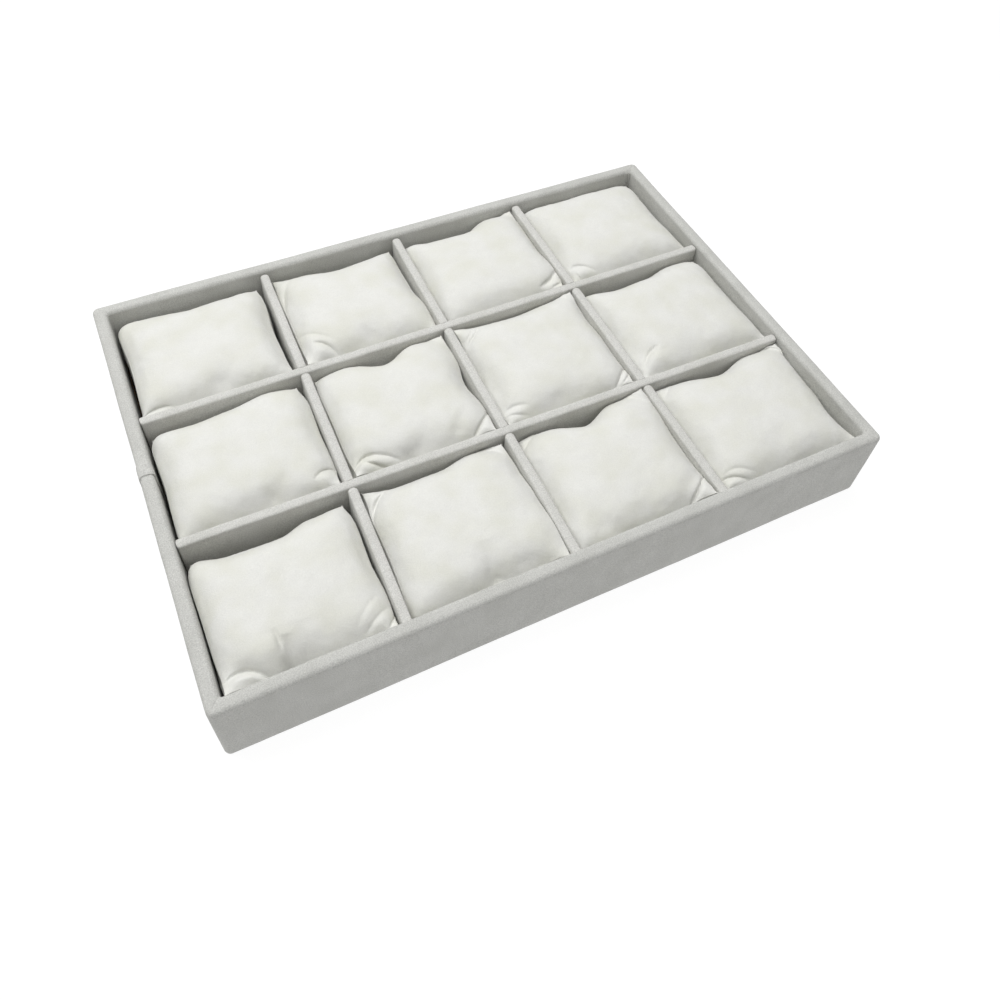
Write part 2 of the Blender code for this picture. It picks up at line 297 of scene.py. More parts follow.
# %% [markdown]
# ## Velvet
# Velvet is a short dense pile. It hardly shines, it goes a little lighter where it is seen edge on, and
# where a hand has brushed it, its tint shifts in soft patches. Three noise patterns make that: a speckle
# as fine as the pile, streaks along the way it was brushed, and wide patches. The speckle also drives the
# bump. All read the object's own coordinates, so the pattern moves with the piece.

# %% Velvet
pile_detail = 3.0
pile_size = 0.00055
streak_size = 0.004
streak_stretch = 5.0
patch_size = 0.016
pile_height = 0.00012
streak_bump_share = 1.5
velvet_roughness = 0.95
velvet_sheen = 0.12
pile_range = (0.30, 0.70)
streak_range = (0.35, 0.65)
patch_range = (0.40, 0.68)


def make_velvet(name, colour, brushed_colour, patch_colour, speckle, patches, stretch):
    """A short-pile velvet in one colour, with tints for brushed streaks and for wide patches."""
    material, tree, shader = new_material(name, velvet_roughness, velvet_sheen)
    pile = noise_of(tree, pile_size, pile_detail)
    streaks = shift_contrast(noise_of(tree, streak_size, stretch=stretch), *streak_range)
    wide = shift_contrast(noise_of(tree, patch_size), *patch_range)
    tint = mix_colours(tree, streaks * patches, colour, brushed_colour)
    tint = mix_colours(tree, wide * patches, tint, patch_colour)
    dark = mix_colours(tree, shift_contrast(pile, *pile_range) * speckle, (1, 1, 1), (0, 0, 0))
    shaded = mix_colours(tree, 1.0, tint, dark, "MULTIPLY")
    tree.links.new(shaded.socket, shader.inputs["Base Color"])
    add_bump(tree, shader, pile + streak_bump_share * noise_of(tree, streak_size), pile_height)
    return material


# Each velvet is its three tints, how dark its speckle is, how strong its tints are and how it is stretched
along_walls = (1, 1, 1 / streak_stretch)
grey_tints = ((0.652, 0.652, 0.622), (0.692, 0.692, 0.66), (0.60, 0.60, 0.568))
# The dividers get their own velvet, a lighter copy of the wall velvet: painted light, standing in for the
# light that the pillows throw onto them
divider_tints_painted_light = ((0.71, 0.705, 0.672), (0.745, 0.742, 0.71), (0.66, 0.658, 0.62))
pillow_tints = ((0.775, 0.775, 0.740), (0.80, 0.80, 0.765), (0.735, 0.735, 0.665))
grey_velvet = make_velvet("light_grey_velvet", *grey_tints, 0.30, 0.7, along_walls)
divider_grey_velvet = make_velvet("divider_grey_velvet", *divider_tints_painted_light, 0.28, 0.7, along_walls)
pillow_velvet = make_velvet("off_white_velvet", *pillow_tints, 0.07, 0.8, no_stretch)
print("velvets", grey_velvet.name, divider_grey_velvet.name, pillow_velvet.name)

# %% [markdown]
# ## Board, card, lining, paper, wadding and thread
# The wrapped boards show only where a pillow is lifted out, but each still has the finish of its real
# material: fibreboard is pressed wood fibre, the lining is flocked, and wadding is a loose mat of fibres.
# Close up, all of them are flecks on a ground, so one function makes them from two colours and a size.

# %% Plain materials
fleck_detail = 4.0
fleck_range = (0.42, 0.62)
fleck_share = 0.6
mottling_range = (0.3, 0.7)
mottling_share = 0.3
flecks_in_a_mottle = 12


def make_speckled(name, colours, fleck_size, roughness, grain_height, stretch=no_stretch):
    """A matt material with flecks of a second colour and a fine grain."""
    material, tree, shader = new_material(name, roughness)
    flecks = shift_contrast(noise_of(tree, fleck_size, fleck_detail, stretch), *fleck_range)
    mottling = shift_contrast(noise_of(tree, fleck_size * flecks_in_a_mottle), *mottling_range)
    tint = mix_colours(tree, flecks * fleck_share + mottling * mottling_share, *colours)
    tree.links.new(tint.socket, shader.inputs["Base Color"])
    add_bump(tree, shader, flecks, grain_height)
    return material


# Each finish is its two colours, then the size of its flecks, its roughness and the height of its grain
wood_fibre = (1.0, 1.0, 4.0)
speckled_finishes = {
    "fibreboard": (((0.32, 0.21, 0.12), (0.20, 0.12, 0.065)), 0.0009, 0.85, 0.00008, wood_fibre),
    "grey_card": (((0.36, 0.35, 0.33), (0.24, 0.23, 0.21)), 0.0012, 0.9, 0.00005),
    # The lining is near black, so that the deep narrow gaps beside the pillows come out black
    "dark_lining": (((0.020, 0.020, 0.021), (0.006, 0.006, 0.006)), 0.0007, 0.97, 0.0002),
    "black_paper": (((0.035, 0.035, 0.036), (0.018, 0.018, 0.018)), 0.0015, 0.8, 0.00004),
    "white_wadding": (((0.86, 0.85, 0.82), (0.70, 0.69, 0.66)), 0.0011, 1.0, 0.0005),
    "white_thread": (((0.80, 0.79, 0.75), (0.62, 0.61, 0.57)), 0.0004, 0.7, 0.00005),
    "studio_floor": (((0.16, 0.16, 0.16), (0.15, 0.15, 0.15)), 0.004, 0.9, 0.0),
}
finishes = {"light_grey_velvet": grey_velvet, "off_white_velvet": pillow_velvet}
finishes.update({name: make_speckled(name, *recipe) for name, recipe in speckled_finishes.items()})
thread_finish = finishes["white_thread"]
floor_finish = finishes["studio_floor"]

# The floor glows, so that it stays nearly white round the tray while the light on the tray is kept low
floor_glow = 0.90
floor_shader = floor_finish.node_tree.nodes["Principled BSDF"]
floor_shader.inputs["Emission Color"].default_value = white
floor_shader.inputs["Emission Strength"].default_value = floor_glow
floor.data.materials.append(floor_finish)

for node in nodes.values():
    for material_slot in node.material_slots:
        material_slot.material = finishes[material_slot.material.name.split(".")[0]]
print("finishes on the model's own pieces", sorted(finishes))

# %% [markdown]
# ## The room inside the tray
# The walls' inner faces are read from the floor lining, and each divider's line from the two ends of its
# folded cloth in the model. Where two lines meet is the corner of a compartment. The dividers aren't
# quite square to the walls, so every compartment is a slightly different four-sided shape. Twelve equal
# boxes would be simpler, but pillows made to fit them would reach into the slanting dividers.

# %% Divider lines and compartments
divider_half_thickness = 0.0025
end_reach = 0.004
column_count, row_count = 4, 3
room_low, room_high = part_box("floor_lining")


def plan_line(node, along):
    """The plan points at the two ends of a divider, along X (0) or Y (1)."""
    places = np.array([vertex.co for vertex in nodes[node].data.vertices])
    low, high = places[:, along].min(), places[:, along].max()
    first = places[places[:, along] < low + end_reach].mean(0)
    last = places[places[:, along] > high - end_reach].mean(0)
    return first[:2], last[:2]


def meeting(first, second):
    """The plan point where two lines, each given by two points, meet."""
    start, run = first[0], first[1] - first[0]
    other_run = second[1] - second[0]
    step = np.cross(second[0] - start, other_run) / np.cross(run, other_run)
    return start + run * step


left, right, front, back = room_low.x, room_high.x, room_low.y, room_high.y
plan = [np.array(point) for point in ((left, back), (right, back), (right, front), (left, front))]
column_lines = [plan_line(f"column_divider_{k}_cloth", 1) for k in range(1, column_count)]
row_lines = [plan_line(f"row_divider_{k}_cloth", 0) for k in range(1, row_count)]
column_lines = [(plan[3], plan[0]), *column_lines, (plan[2], plan[1])]
row_lines = [(plan[0], plan[1]), *row_lines, (plan[3], plan[2])]


def moved(line, offset):
    return line[0] + offset, line[1] + offset


def row_sides(row):
    """The lines along the back and along the front of a row of compartments."""
    half = divider_half_thickness
    back_side = moved(row_lines[row - 1], np.array((0, -half * (row > 1))))
    front_side = moved(row_lines[row], np.array((0, half * (row < row_count))))
    return back_side, front_side


def compartment(row, column):
    """The free corners of a compartment: back left, back right, front right and front left."""
    half = divider_half_thickness
    left_side = moved(column_lines[column - 1], np.array((half * (column > 1), 0)))
    right_side = moved(column_lines[column], np.array((-half * (column < column_count), 0)))
    back_side, front_side = row_sides(row)
    pairs = [(left_side, back_side), (right_side, back_side)]
    pairs += [(right_side, front_side), (left_side, front_side)]
    return [meeting(*pair) for pair in pairs]


places = [(row, column) for row in range(1, row_count + 1) for column in range(1, column_count + 1)]
print("compartment r1c1", [np.round(corner * 1000, 1).tolist() for corner in compartment(1, 1)], "mm")

# %% [markdown]
# ## The velvet over the walls
# On the real tray one long strip of velvet is glued over the walls: it starts under the base, goes up
# outside, over the rim and down inside. It could be a plane with a Solidify modifier, but a strip swept
# round the tray lets each part of the section have its own place: the hem, the soft rims, the lap where
# the strip's end covers its start, and the mitred folds on the four corners. A little noise keeps it from
# looking moulded, because cloth glued by hand is never quite flat.

# %% Section of the wall velvet
floor_top = room_high.z
rim_height = model_high.z
cloth_thickness = 0.0008
seat_gap = 0.0003
wall_thickness = (tray_size.x - (room_high.x - room_low.x)) / 2 - seat_gap
hem_width = 0.010
hem_height = 0.0009
foot_radius = 0.0012
rim_radius = 0.0020
foot_steps = 4
bend_steps = 8
rim_steps = 3
face_steps = 12


def arc(centre_across, centre_up, radius, start, end, steps):
    """Points of an arc, its angles in degrees."""
    angles = [math.radians(start + (end - start) * k / steps) for k in range(steps + 1)]
    return [(centre_across + radius * math.cos(a), centre_up + radius * math.sin(a)) for a in angles]


def line_points(first, last, steps):
    """Points between two points, without the two themselves."""
    shares = [k / steps for k in range(1, steps)]
    return [tuple(a + (b - a) * share for a, b in zip(first, last)) for share in shares]


def strip_side(depth):
    """The strip's section at one depth under its face, from the hem over the rim to the floor."""
    radius = rim_radius - depth
    foot = foot_radius - depth
    rim_level = rim_height - rim_radius
    outside = arc(foot_radius, hem_height + foot_radius, foot, 270, 180, foot_steps)
    outer_bend = arc(rim_radius, rim_level, radius, 180, 90, bend_steps)
    inner_bend = arc(wall_thickness - rim_radius, rim_level, radius, 90, 0, bend_steps)
    points = [(hem_width, hem_height + depth)] + outside
    points += line_points(outside[-1], outer_bend[0], face_steps) + outer_bend
    points += line_points(outer_bend[-1], inner_bend[0], rim_steps) + inner_bend
    bottom = (wall_thickness - depth, floor_top - cloth_thickness + seat_gap)
    return points + line_points(inner_bend[-1], bottom, face_steps) + [bottom]


print("strip section points", len(strip_side(0.0)))

# %% [markdown]
# ## The way round the tray
# The strip starts on the left wall, goes once round and ends a little past its start, where its end laps
# over it. One path could be drawn and made smaller for the inside, but that would leave the walls thicker
# along one side than along the other. So the path is worked out anew for each point of the section.

# %% Path round the tray
outer_corner_radius = 0.0028
inner_corner_radius = 0.0012
corner_steps = 8
long_side_stations = 96
short_side_stations = 70
lap_stations = 12
lap_place = 0.0080
lap_length = 0.006
lap_ramp = 0.003
lap_height = 0.0004
lap_press = 0.0004


def spread(first, last, count):
    """Places from one end to the other, set closer together near both ends."""
    shares = [0.5 - 0.5 * math.cos(math.pi * k / count) for k in range(count + 1)]
    return [first + (last - first) * share for share in shares]


def straight(first, last, count):
    """Plan points from one place to another, set closer together near both ends."""
    return list(zip(spread(first[0], last[0], count), spread(first[1], last[1], count)))


def bend_centre(inset):
    """Where the corners' bends are centred, as distances along X and Y, and their radius."""
    radius = max(outer_corner_radius - inset, inner_corner_radius)
    return tray_size.x / 2 - inset - radius, tray_size.y / 2 - inset - radius, radius


def path_round_tray(inset):
    """Plan points round the tray, from the lap on the left wall to a lap's length past it."""
    centre_x, centre_y, radius = bend_centre(inset)
    bends = [
        arc(sx * centre_x, sy * centre_y, radius, start, start + 90, corner_steps)
        for (sx, sy), start in zip(corner_signs, (180, 270, 0, 90))
    ]
    left_face = inset - tray_size.x / 2
    half_side = short_side_stations // 2
    points = straight((left_face, lap_place), bends[0][0], half_side)[:-1] + bends[0]
    side_stations = (long_side_stations, short_side_stations, long_side_stations)
    for before, after, stations in zip(bends, bends[1:], side_stations):
        points += straight(before[-1], after[0], stations)[1:-1] + after
    end = (left_face, lap_place - lap_length)
    return points + straight(bends[3][-1], end, half_side + lap_stations)[1:]


def held_between(value, low, high):
    return min(max(value, low), high)


def lap_lift(station, count, y):
    """How far the strip's last stretch is lifted over its start, which is pressed down under it."""
    if station < count / 2:
        pressed_in = held_between((y - lap_place + lap_length + lap_ramp) / lap_ramp, 0.0, 1.0)
        return -lap_press * pressed_in if station < count / 4 else 0.0
    share = held_between((lap_place + lap_ramp - y) / lap_ramp, 0.0, 1.0)
    return lap_height * share * share * (3 - 2 * share)


print("stations round the tray", len(path_round_tray(0.0)))

# %% [markdown]
# ## How the strip lies on the walls
# Glued cloth is never quite smooth. It wavers, it is folded on the diagonal at each corner of the rim, it
# has two pleats where it is crowded into one corner of the room, and its pile stands out. Bump could fake
# all of that, but not on the outline, so each is a small offset that moves the strip's own points.

# %% How the strip lies
unevenness = 0.00022
unevenness_size = 0.035
fine_unevenness = 0.00006
fine_unevenness_size = 0.006
mitre_depth = 0.00035
mitre_width = 0.0007
pleat_corner = 0.002
pleat_start = 0.0005
pleat_depth = 0.0010
pleat_width = 0.0004
pleat_offsets = (0.0004, 0.0022)
pile_stand = 0.0005
pressed_share = -0.2


def cloth_noise(point, size):
    return noise.noise(Vector(point) / size)


def bell(distance, width):
    """A bell curve: 1 at no distance, and fading to 0 over about twice its width."""
    return np.exp(-((distance / width) ** 2))


def wall_wobble(point):
    """How far cloth glued by hand stands off its board at a point."""
    fine = fine_unevenness * cloth_noise(point, fine_unevenness_size)
    return unevenness * cloth_noise(point, unevenness_size) + fine


def mitre_groove(x, y, inset):
    """The folded diagonal on a rim's corner."""
    off_diagonal = abs((tray_size.x / 2 - abs(x)) - (tray_size.y / 2 - abs(y)))
    near_corner = min(tray_size.x / 2 - abs(x), tray_size.y / 2 - abs(y)) < wall_thickness
    groove = bell(off_diagonal, mitre_width) if near_corner else 0.0
    on_rim = math.sin(math.pi * held_between(inset / wall_thickness, 0, 1))
    return mitre_depth * groove * on_rim


def corner_pleats(x, y, inset):
    """Two upright folds where the cloth is crowded into the back right corner of the room."""
    if inset < wall_thickness - pleat_start or y < room_high.y - pleat_corner:
        return 0.0
    return sum(pleat_depth * bell(room_high.x - x - place, pleat_width) for place in pleat_offsets)


def standing_pile(inset):
    """How far the pile stands out: fully outside and over the rim, not where a pillow presses it flat."""
    return pile_stand * held_between((wall_thickness - inset) / rim_radius, pressed_share, 1.0)


groove = mitre_groove(tray_size.x / 2, tray_size.y / 2, wall_thickness / 2)
print("mitre groove", round(groove * 1000, 2), "mm deep")

# %% [markdown]
# ## Finishing a piece
# Every piece of this lesson ends in the same way: its double points are closed, its faces are turned
# outwards and smoothed, and it gets its material. All of that could be done by hand in Edit Mode, but a
# function forgets none of the steps.

# %% Finishing a piece
merge_distance = 0.00001


def finished_piece(name, mesh, material):
    """Closes a mesh's doubles, turns its faces outwards, smooths it and makes it an object."""
    bm = bmesh.new()
    bm.from_mesh(mesh)
    bmesh.ops.remove_doubles(bm, verts=bm.verts, dist=merge_distance)
    bmesh.ops.recalc_face_normals(bm, faces=bm.faces)
    for face in bm.faces:
        face.smooth = True
    bm.to_mesh(mesh)
    bm.free()
    mesh.materials.clear()
    mesh.materials.append(material)
    return add_object(name, mesh)


print("points closer than", round(merge_distance * 1000, 3), "mm become one")

# %% [markdown]
# ## Sweeping the strip
# The strip's section is swept round the tray, one row of points for each point of the section. A curve
# with a profile could do it too, but here the corners' radius changes from the outside to the inside.

# %% Wall velvet
least_floor_gap = 0.0001


def section_normals(section):
    """The outward direction at each point of a closed section, as (inwards from the wall's face, up)."""
    normals = []
    for k in range(len(section)):
        before, after = section[k - 1], section[(k + 1) % len(section)]
        run = (after[0] - before[0], after[1] - before[1])
        length = math.hypot(*run) or 1.0
        normals.append((-run[1] / length, run[0] / length))
    return normals


def outward(x, y, inset):
    """The plan direction that points out of the tray at a point of the strip."""
    centre_x, centre_y, _ = bend_centre(inset)
    beyond_x = max(abs(x) - centre_x, 0.0)
    beyond_y = max(abs(y) - centre_y, 0.0)
    length = math.hypot(beyond_x, beyond_y) or 1.0
    return math.copysign(beyond_x / length, x), math.copysign(beyond_y / length, y)


def strip_offset(x, y, inset, height, depth, lift):
    """How far a point of the strip stands off its smooth place, with the lift of the lap there."""
    groove = mitre_groove(x, y, inset) * (height > rim_height - rim_radius)
    pile = standing_pile(inset) if depth == 0 else 0.0
    return wall_wobble((x, y, height)) + lift - groove + (corner_pleats(x, y, inset) + pile)


def strip_faces(rows, stations):
    """The faces between each row of points and the next, and one face over each end of the strip."""
    faces = []
    for k in range(rows):
        row, after = k * stations, (k + 1) % rows * stations
        faces += [(row + s, row + s + 1, after + s + 1, after + s) for s in range(stations - 1)]
    first_end = [k * stations for k in range(rows)]
    return [*faces, first_end[::-1], [point + stations - 1 for point in first_end]]


def make_wall_velvet():
    section = [(inset, height, 0.0) for inset, height in strip_side(0.0)]
    section += [(inset, height, cloth_thickness) for inset, height in strip_side(cloth_thickness)[::-1]]
    normals = section_normals([point[:2] for point in section])
    vertices, station_count = [], len(path_round_tray(0.0))
    for (inset, height, depth), (normal_in, normal_up) in zip(section, normals):
        facing = 1.0 if depth == 0 else -1.0
        for station, (x, y) in enumerate(path_round_tray(inset)):
            lift = lap_lift(station, station_count, y)
            offset = facing * strip_offset(x, y, inset, height, depth, lift)
            out_x, out_y = outward(x, y, inset)
            rise = offset * normal_up
            if height < foot_radius:
                rise = max(rise, -hem_height + least_floor_gap)
            vertices.append((x - out_x * normal_in * offset, y - out_y * normal_in * offset, height + rise))
    mesh = bpy.data.meshes.new("wall_velvet")
    mesh.from_pydata(vertices, [], strip_faces(len(section), station_count))
    return finished_piece("wall_velvet", mesh, grey_velvet)


wall_velvet = make_wall_velvet()
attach(wall_velvet, "tray")
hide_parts("wall_cloth")

# %% [markdown]
# ## The velvet over the dividers
# A divider's velvet is folded over the board's top edge and glued down both sides, and at each end it is
# rounded off like a thumb. All eleven stretches follow one rule, so one Geometry Nodes tree makes them. A
# grid is bent into shape: one way it runs along the divider, the other way over its section, down the
# outside, and back up inside the cloth. The tree's inputs are sizes that a maker would give, and sums on
# sockets say where each point of the grid goes. First come the parts that any such tree needs.


# %% Starting and ending a tree
def new_tree(name, kinds, defaults):
    """A Geometry Nodes tree with an input of each named kind, and a wire from each input."""
    tree = bpy.data.node_groups.new(name, "GeometryNodeTree")
    for input_name, kind in kinds.items():
        socket = tree.interface.new_socket(input_name, in_out="INPUT", socket_type=f"NodeSocket{kind}")
        if input_name in defaults:
            socket.default_value = defaults[input_name]
    tree.interface.new_socket("Geometry", in_out="OUTPUT", socket_type="NodeSocketGeometry")
    group = add_node(tree, "NodeGroupInput")
    return tree, {input_name: Wire(group.outputs[input_name]) for input_name in kinds}


def end_tree(tree, geometry, material):
    """Makes a tree's instances real, gives every face its material and ends the tree."""
    real = wire_from(tree, "GeometryNodeRealizeInstances", {"Geometry": geometry})
    covered = wire_from(tree, "GeometryNodeSetMaterial", {"Geometry": real, "Material": material})
    add_node(tree, "NodeGroupOutput", {"Geometry": covered})


def mesh_from_tree(tree, values, start_mesh=None):
    """Runs a node tree with named values and returns the result as a plain mesh."""
    carrier = add_object("carrier", start_mesh or bpy.data.meshes.new("start"))
    modifier = carrier.modifiers.new("tree", "NODES")
    modifier.node_group = tree
    for item in tree.interface.items_tree:
        if item.in_out == "INPUT" and item.name in values:
            modifier[item.identifier] = values[item.name]
    view = bpy.context.evaluated_depsgraph_get()
    mesh = bpy.data.meshes.new_from_object(carrier.evaluated_get(view), depsgraph=view)
    carrier.modifiers.remove(modifier)
    bpy.data.objects.remove(carrier)
    return mesh


divider_bottom, divider_top = (corner.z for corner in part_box("row_divider_1_cloth"))
print("divider velvets reach from", round(divider_bottom * 1000, 1), "to", round(divider_top * 1000, 1), "mm")

# %% [markdown]
# ## The sizes of one stretch
# The half thickness and the two heights are those of the model's folded cloth, the noses are the rounded
# ends, and the unevenness is the waver of cloth folded by hand. They could be numbers inside the tree, but
# as inputs they can be changed in Blender's own panel as well.

# %% Sizes of one stretch
wrap_inputs = {
    "Length": 0.08,
    "Half Thickness": divider_half_thickness,
    "Top": divider_top,
    "Bottom": divider_bottom,
    "Edge Radius": 0.0018,
    "Cloth": cloth_thickness,
    "Back Nose": 0.0024,
    "Front Nose": 0.0006,
    "Nose Drop": 0.0009,
    "Unevenness": 0.00030,
    "Seed": 0.0,
}
wrap_kinds = {
    **dict.fromkeys(wrap_inputs, "Float"),
    "Stations": "Int",
    "Section Points": "Int",
    "Place": "Vector",
    "Turn": "Float",
    "Velvet": "Material",
}
print("a stretch has", len(wrap_kinds), "inputs")

# %% [markdown]
# ## The rule for one stretch
# Seen from above, a stretch has rounded ends, and its section is an arch on two straight legs. A bevel
# could round both, but a bevel is part of a circle, and folded cloth is squarer than that. Here a power
# sets how square each curve is, and noise adds the waver.

# %% Divider wrap tree
just_inside = 1.0001
cap_share = 0.45
edge_squareness = 0.65
wander_scale = 45.0
wander_detail = 3.0
rise_scale = 60.0
rise_seed_step = 7.0
wrap_merge_distance = 0.00002


def nose_shape(distance, reach):
    """A rounded end: 0 at the tip and 1 a nose's reach from it."""
    closeness = 1.0 - (distance / reach).least(1.0).most(0.0)
    return (1.0 - closeness * closeness * closeness).most(0.0) ** (1 / 3)


def make_wrap_tree():
    tree, size = new_tree("divider_wrap", wrap_kinds, wrap_inputs)
    cells = {"Vertices X": size["Stations"], "Vertices Y": size["Section Points"]}
    grid = wire_from(tree, "GeometryNodeMeshGrid", {"Size X": 1.0, "Size Y": 1.0, **cells})
    start = wire_from(tree, "GeometryNodeInputPosition")
    split = add_node(tree, "ShaderNodeSeparateXYZ", {"Vector": start})
    along_share, round_share = Wire(split.outputs["X"]), Wire(split.outputs["Y"])

    # Over the section, a point is outside the cloth up to 1 and inside it from 1 to 2
    travel = round_share.call("ABSOLUTE") * 4.0
    side = round_share.call("SIGN")
    inside = travel.math("GREATER_THAN", travel, just_inside)
    down = travel.least(2.0 - travel)
    depth = inside * size["Cloth"]

    # Along the divider, points lie closer together towards its rounded ends
    half_length = size["Length"] * 0.5 - depth
    place_along = half_length * (along_share * math.pi).call("SINE")
    back_nose = nose_shape(half_length - place_along, size["Back Nose"])
    front_nose = nose_shape(half_length + place_along, size["Front Nose"])
    nose = back_nose * front_nose

    # The top is rounded over the first part of the way down, and the skirt is straight
    radius = size["Edge Radius"] - depth
    angle = (down / cap_share).least(1.0) * (math.pi / 2)
    half_width = (size["Half Thickness"] - depth) * nose
    top = size["Top"] - depth - size["Nose Drop"] * (1.0 - back_nose)
    sideways = half_width * (angle.call("SINE").most(0.0) ** edge_squareness)
    cap_height = top - radius * (1.0 - angle.call("COSINE").most(0.0) ** edge_squareness)
    skirt = ((down - cap_share) / (1.0 - cap_share)).most(0.0)
    height = cap_height - skirt * (cap_height - size["Bottom"])

    # Folded by hand, the cloth wanders a little along its length
    spots = vector(tree, X=place_along, Y=size["Seed"], Z=height * 0.5)
    wander_inputs = {"Vector": spots, "Scale": wander_scale, "Detail": wander_detail}
    wander = wire_from(tree, "ShaderNodeTexNoise", wander_inputs, output="Fac")
    waver = (wander - 0.5) * 2.0 * size["Unevenness"] * nose
    tops = vector(tree, X=place_along, Y=size["Seed"] + rise_seed_step)
    rise = wire_from(tree, "ShaderNodeTexNoise", {"Vector": tops, "Scale": rise_scale}, output="Fac")
    top_waver = (rise - 0.5) * 2.0 * size["Unevenness"] * (1.0 - down)

    target = vector(tree, X=place_along, Y=sideways * side + waver, Z=height + top_waver)
    bent = wire_from(tree, "GeometryNodeSetPosition", {"Geometry": grid, "Position": target})
    closing = {"Geometry": bent, "Distance": wrap_merge_distance}
    closed = wire_from(tree, "GeometryNodeMergeByDistance", closing)
    turned = vector(tree, Z=size["Turn"])
    placing = {"Geometry": closed, "Translation": size["Place"], "Rotation": turned}
    end_tree(tree, wire_from(tree, "GeometryNodeTransform", placing), size["Velvet"])
    return tree


wrap_tree = make_wrap_tree()
print("divider wrap tree", len(wrap_tree.nodes), "nodes")

# %% [markdown]
# ## Eleven stretches
# A row divider is one stretch from wall to wall. A column divider is three, one in each row of
# compartments, because the row dividers run through it. Each of its stretches starts a little inside the
# velvet in front of it. One long column running through the rows would be less work, but on the real tray
# each stretch ends in a nose of its own.

# %% Divider velvets
wall_clearance = 0.00015
row_stations, column_stations = 240, 72
section_points = 97
row_nose = 0.0011
row_nose_drop = 0.0003
row_seed_step, column_seed_step = 3.0, 10.0
tucked_in = 0.0008


def stretch_mesh(first, last, stations, seed, back_nose, front_nose, nose_drop):
    """One stretch of divider velvet between two plan points, its back nose at the last."""
    run = last - first
    middle = (first + last) / 2
    values = {
        **wrap_inputs,
        "Length": float(np.hypot(*run)),
        "Back Nose": back_nose,
        "Front Nose": front_nose,
        "Nose Drop": nose_drop,
        "Seed": seed,
        "Stations": stations,
        "Section Points": section_points,
        "Place": (float(middle[0]), float(middle[1]), 0.0),
        "Turn": math.atan2(run[1], run[0]),
        "Velvet": divider_grey_velvet,
    }
    return mesh_from_tree(wrap_tree, values)


def joined(meshes, name):
    """One mesh of several."""
    bm = bmesh.new()
    for mesh in meshes:
        bm.from_mesh(mesh)
    together = bpy.data.meshes.new(name)
    bm.to_mesh(together)
    bm.free()
    return together


def divider_velvet(name, stretches, nodes_replaced):
    mesh = joined([stretch_mesh(*stretch) for stretch in stretches], name)
    piece = finished_piece(name, mesh, divider_grey_velvet)
    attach(piece, "tray")
    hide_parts(*nodes_replaced)
    folded_width = 2 * (divider_top - divider_bottom) + 2 * divider_half_thickness
    total = sum(float(np.hypot(*(last - first))) for first, last, *_ in stretches)
    return piece, (folded_width, total)


def shortened(first, last, gap):
    """Two points, each moved a gap towards the other."""
    step = (last - first) / np.hypot(*(last - first)) * gap
    return first + step, last - step


for number in range(1, row_count):
    line = row_lines[number]
    ends = [meeting(line, column_lines[0]), meeting(line, column_lines[-1])]
    ends = shortened(*ends, wall_clearance)
    stretch = (*ends, row_stations, row_seed_step * number, row_nose, row_nose, row_nose_drop)
    piece, flat = divider_velvet(f"row_divider_{number}_velvet", [stretch], [f"row_divider_{number}_cloth"])
    print(piece.name, [round(side * 1000) for side in flat], "mm")

column_noses = [wrap_inputs[name] for name in ("Back Nose", "Front Nose", "Nose Drop")]
for number in range(1, column_count):
    line = column_lines[number]
    stretches = []
    for row in range(1, row_count + 1):
        behind, ahead = row_sides(row)
        near_end, far_end = shortened(meeting(line, ahead), meeting(line, behind), wall_clearance)
        direction = (far_end - near_end) / np.hypot(*(far_end - near_end))
        ends = (near_end - direction * tucked_in, far_end)
        seed = column_seed_step * number + row
        stretches.append((*ends, column_stations, seed, *column_noses))
    cloth_node = f"column_divider_{number}_cloth"
    piece, flat = divider_velvet(f"column_divider_{number}_velvet", stretches, [cloth_node])
    print(piece.name, [round(side * 1000) for side in flat], "mm")

# %% [markdown]
# ## Twelve pillows
# Each pillow is two square panels sewn together along their edges, turned and stuffed. Pushed into its
# compartment, its top bulges flat across the opening, its sides pull in between the corners, and the four
# corners, which hold little wadding, stand up or are tucked down. A box with rounded edges would have none
# of that. So each pillow starts as two grids that share their rim, shaped by a short formula, is blown up
# by Blender's cloth simulation to get its own small wrinkles, and is then folded where the photograph
# shows folds. No two pillows lie alike, so each has its own corners and sides in the tables, as shares of
# its own size.

# %% Corners and sides of the pillows
# How high each corner stands, how far it is tucked in and how wide its loose ear is, each as a share, from
# back left round by the back right
corner_lifts = {
    "r1c1": (0.45, 0.70, 0.80, 0.90),
    "r1c2": (0.75, 0.75, 0.85, 1.05),
    "r1c3": (0.55, 1.05, 1.00, 0.60),
    "r1c4": (0.60, 0.75, 0.80, 0.90),
    "r2c1": (0.40, 0.80, 0.95, 0.80),
    "r2c2": (0.65, 1.00, 1.00, 1.00),
    "r2c3": (1.00, 1.10, 1.00, 0.90),
    "r2c4": (0.55, 0.75, 0.85, 0.95),
    "r3c1": (0.30, 0.75, 0.90, 1.05),
    "r3c2": (0.80, 0.90, 1.05, 0.65),
    "r3c3": (0.55, 1.15, 1.10, 0.75),
    "r3c4": (0.70, 1.05, 0.85, 0.90),
}
corner_tucks = {
    "r1c1": (0.02, 0.06, 0.01, 0.01),
    "r1c2": (0.02, 0.05, 0.00, 0.02),
    "r1c3": (0.01, 0.02, 0.03, 0.01),
    "r1c4": (0.01, 0.06, 0.01, 0.02),
    "r2c1": (0.03, 0.06, 0.02, 0.00),
    "r2c2": (0.02, 0.02, 0.02, 0.04),
    "r2c3": (0.01, 0.01, 0.02, 0.02),
    "r2c4": (0.01, 0.05, 0.01, 0.02),
    "r3c1": (0.03, 0.07, 0.01, 0.01),
    "r3c2": (0.03, 0.03, 0.00, 0.01),
    "r3c3": (0.02, 0.01, 0.01, 0.01),
    "r3c4": (0.02, 0.01, 0.00, 0.02),
}
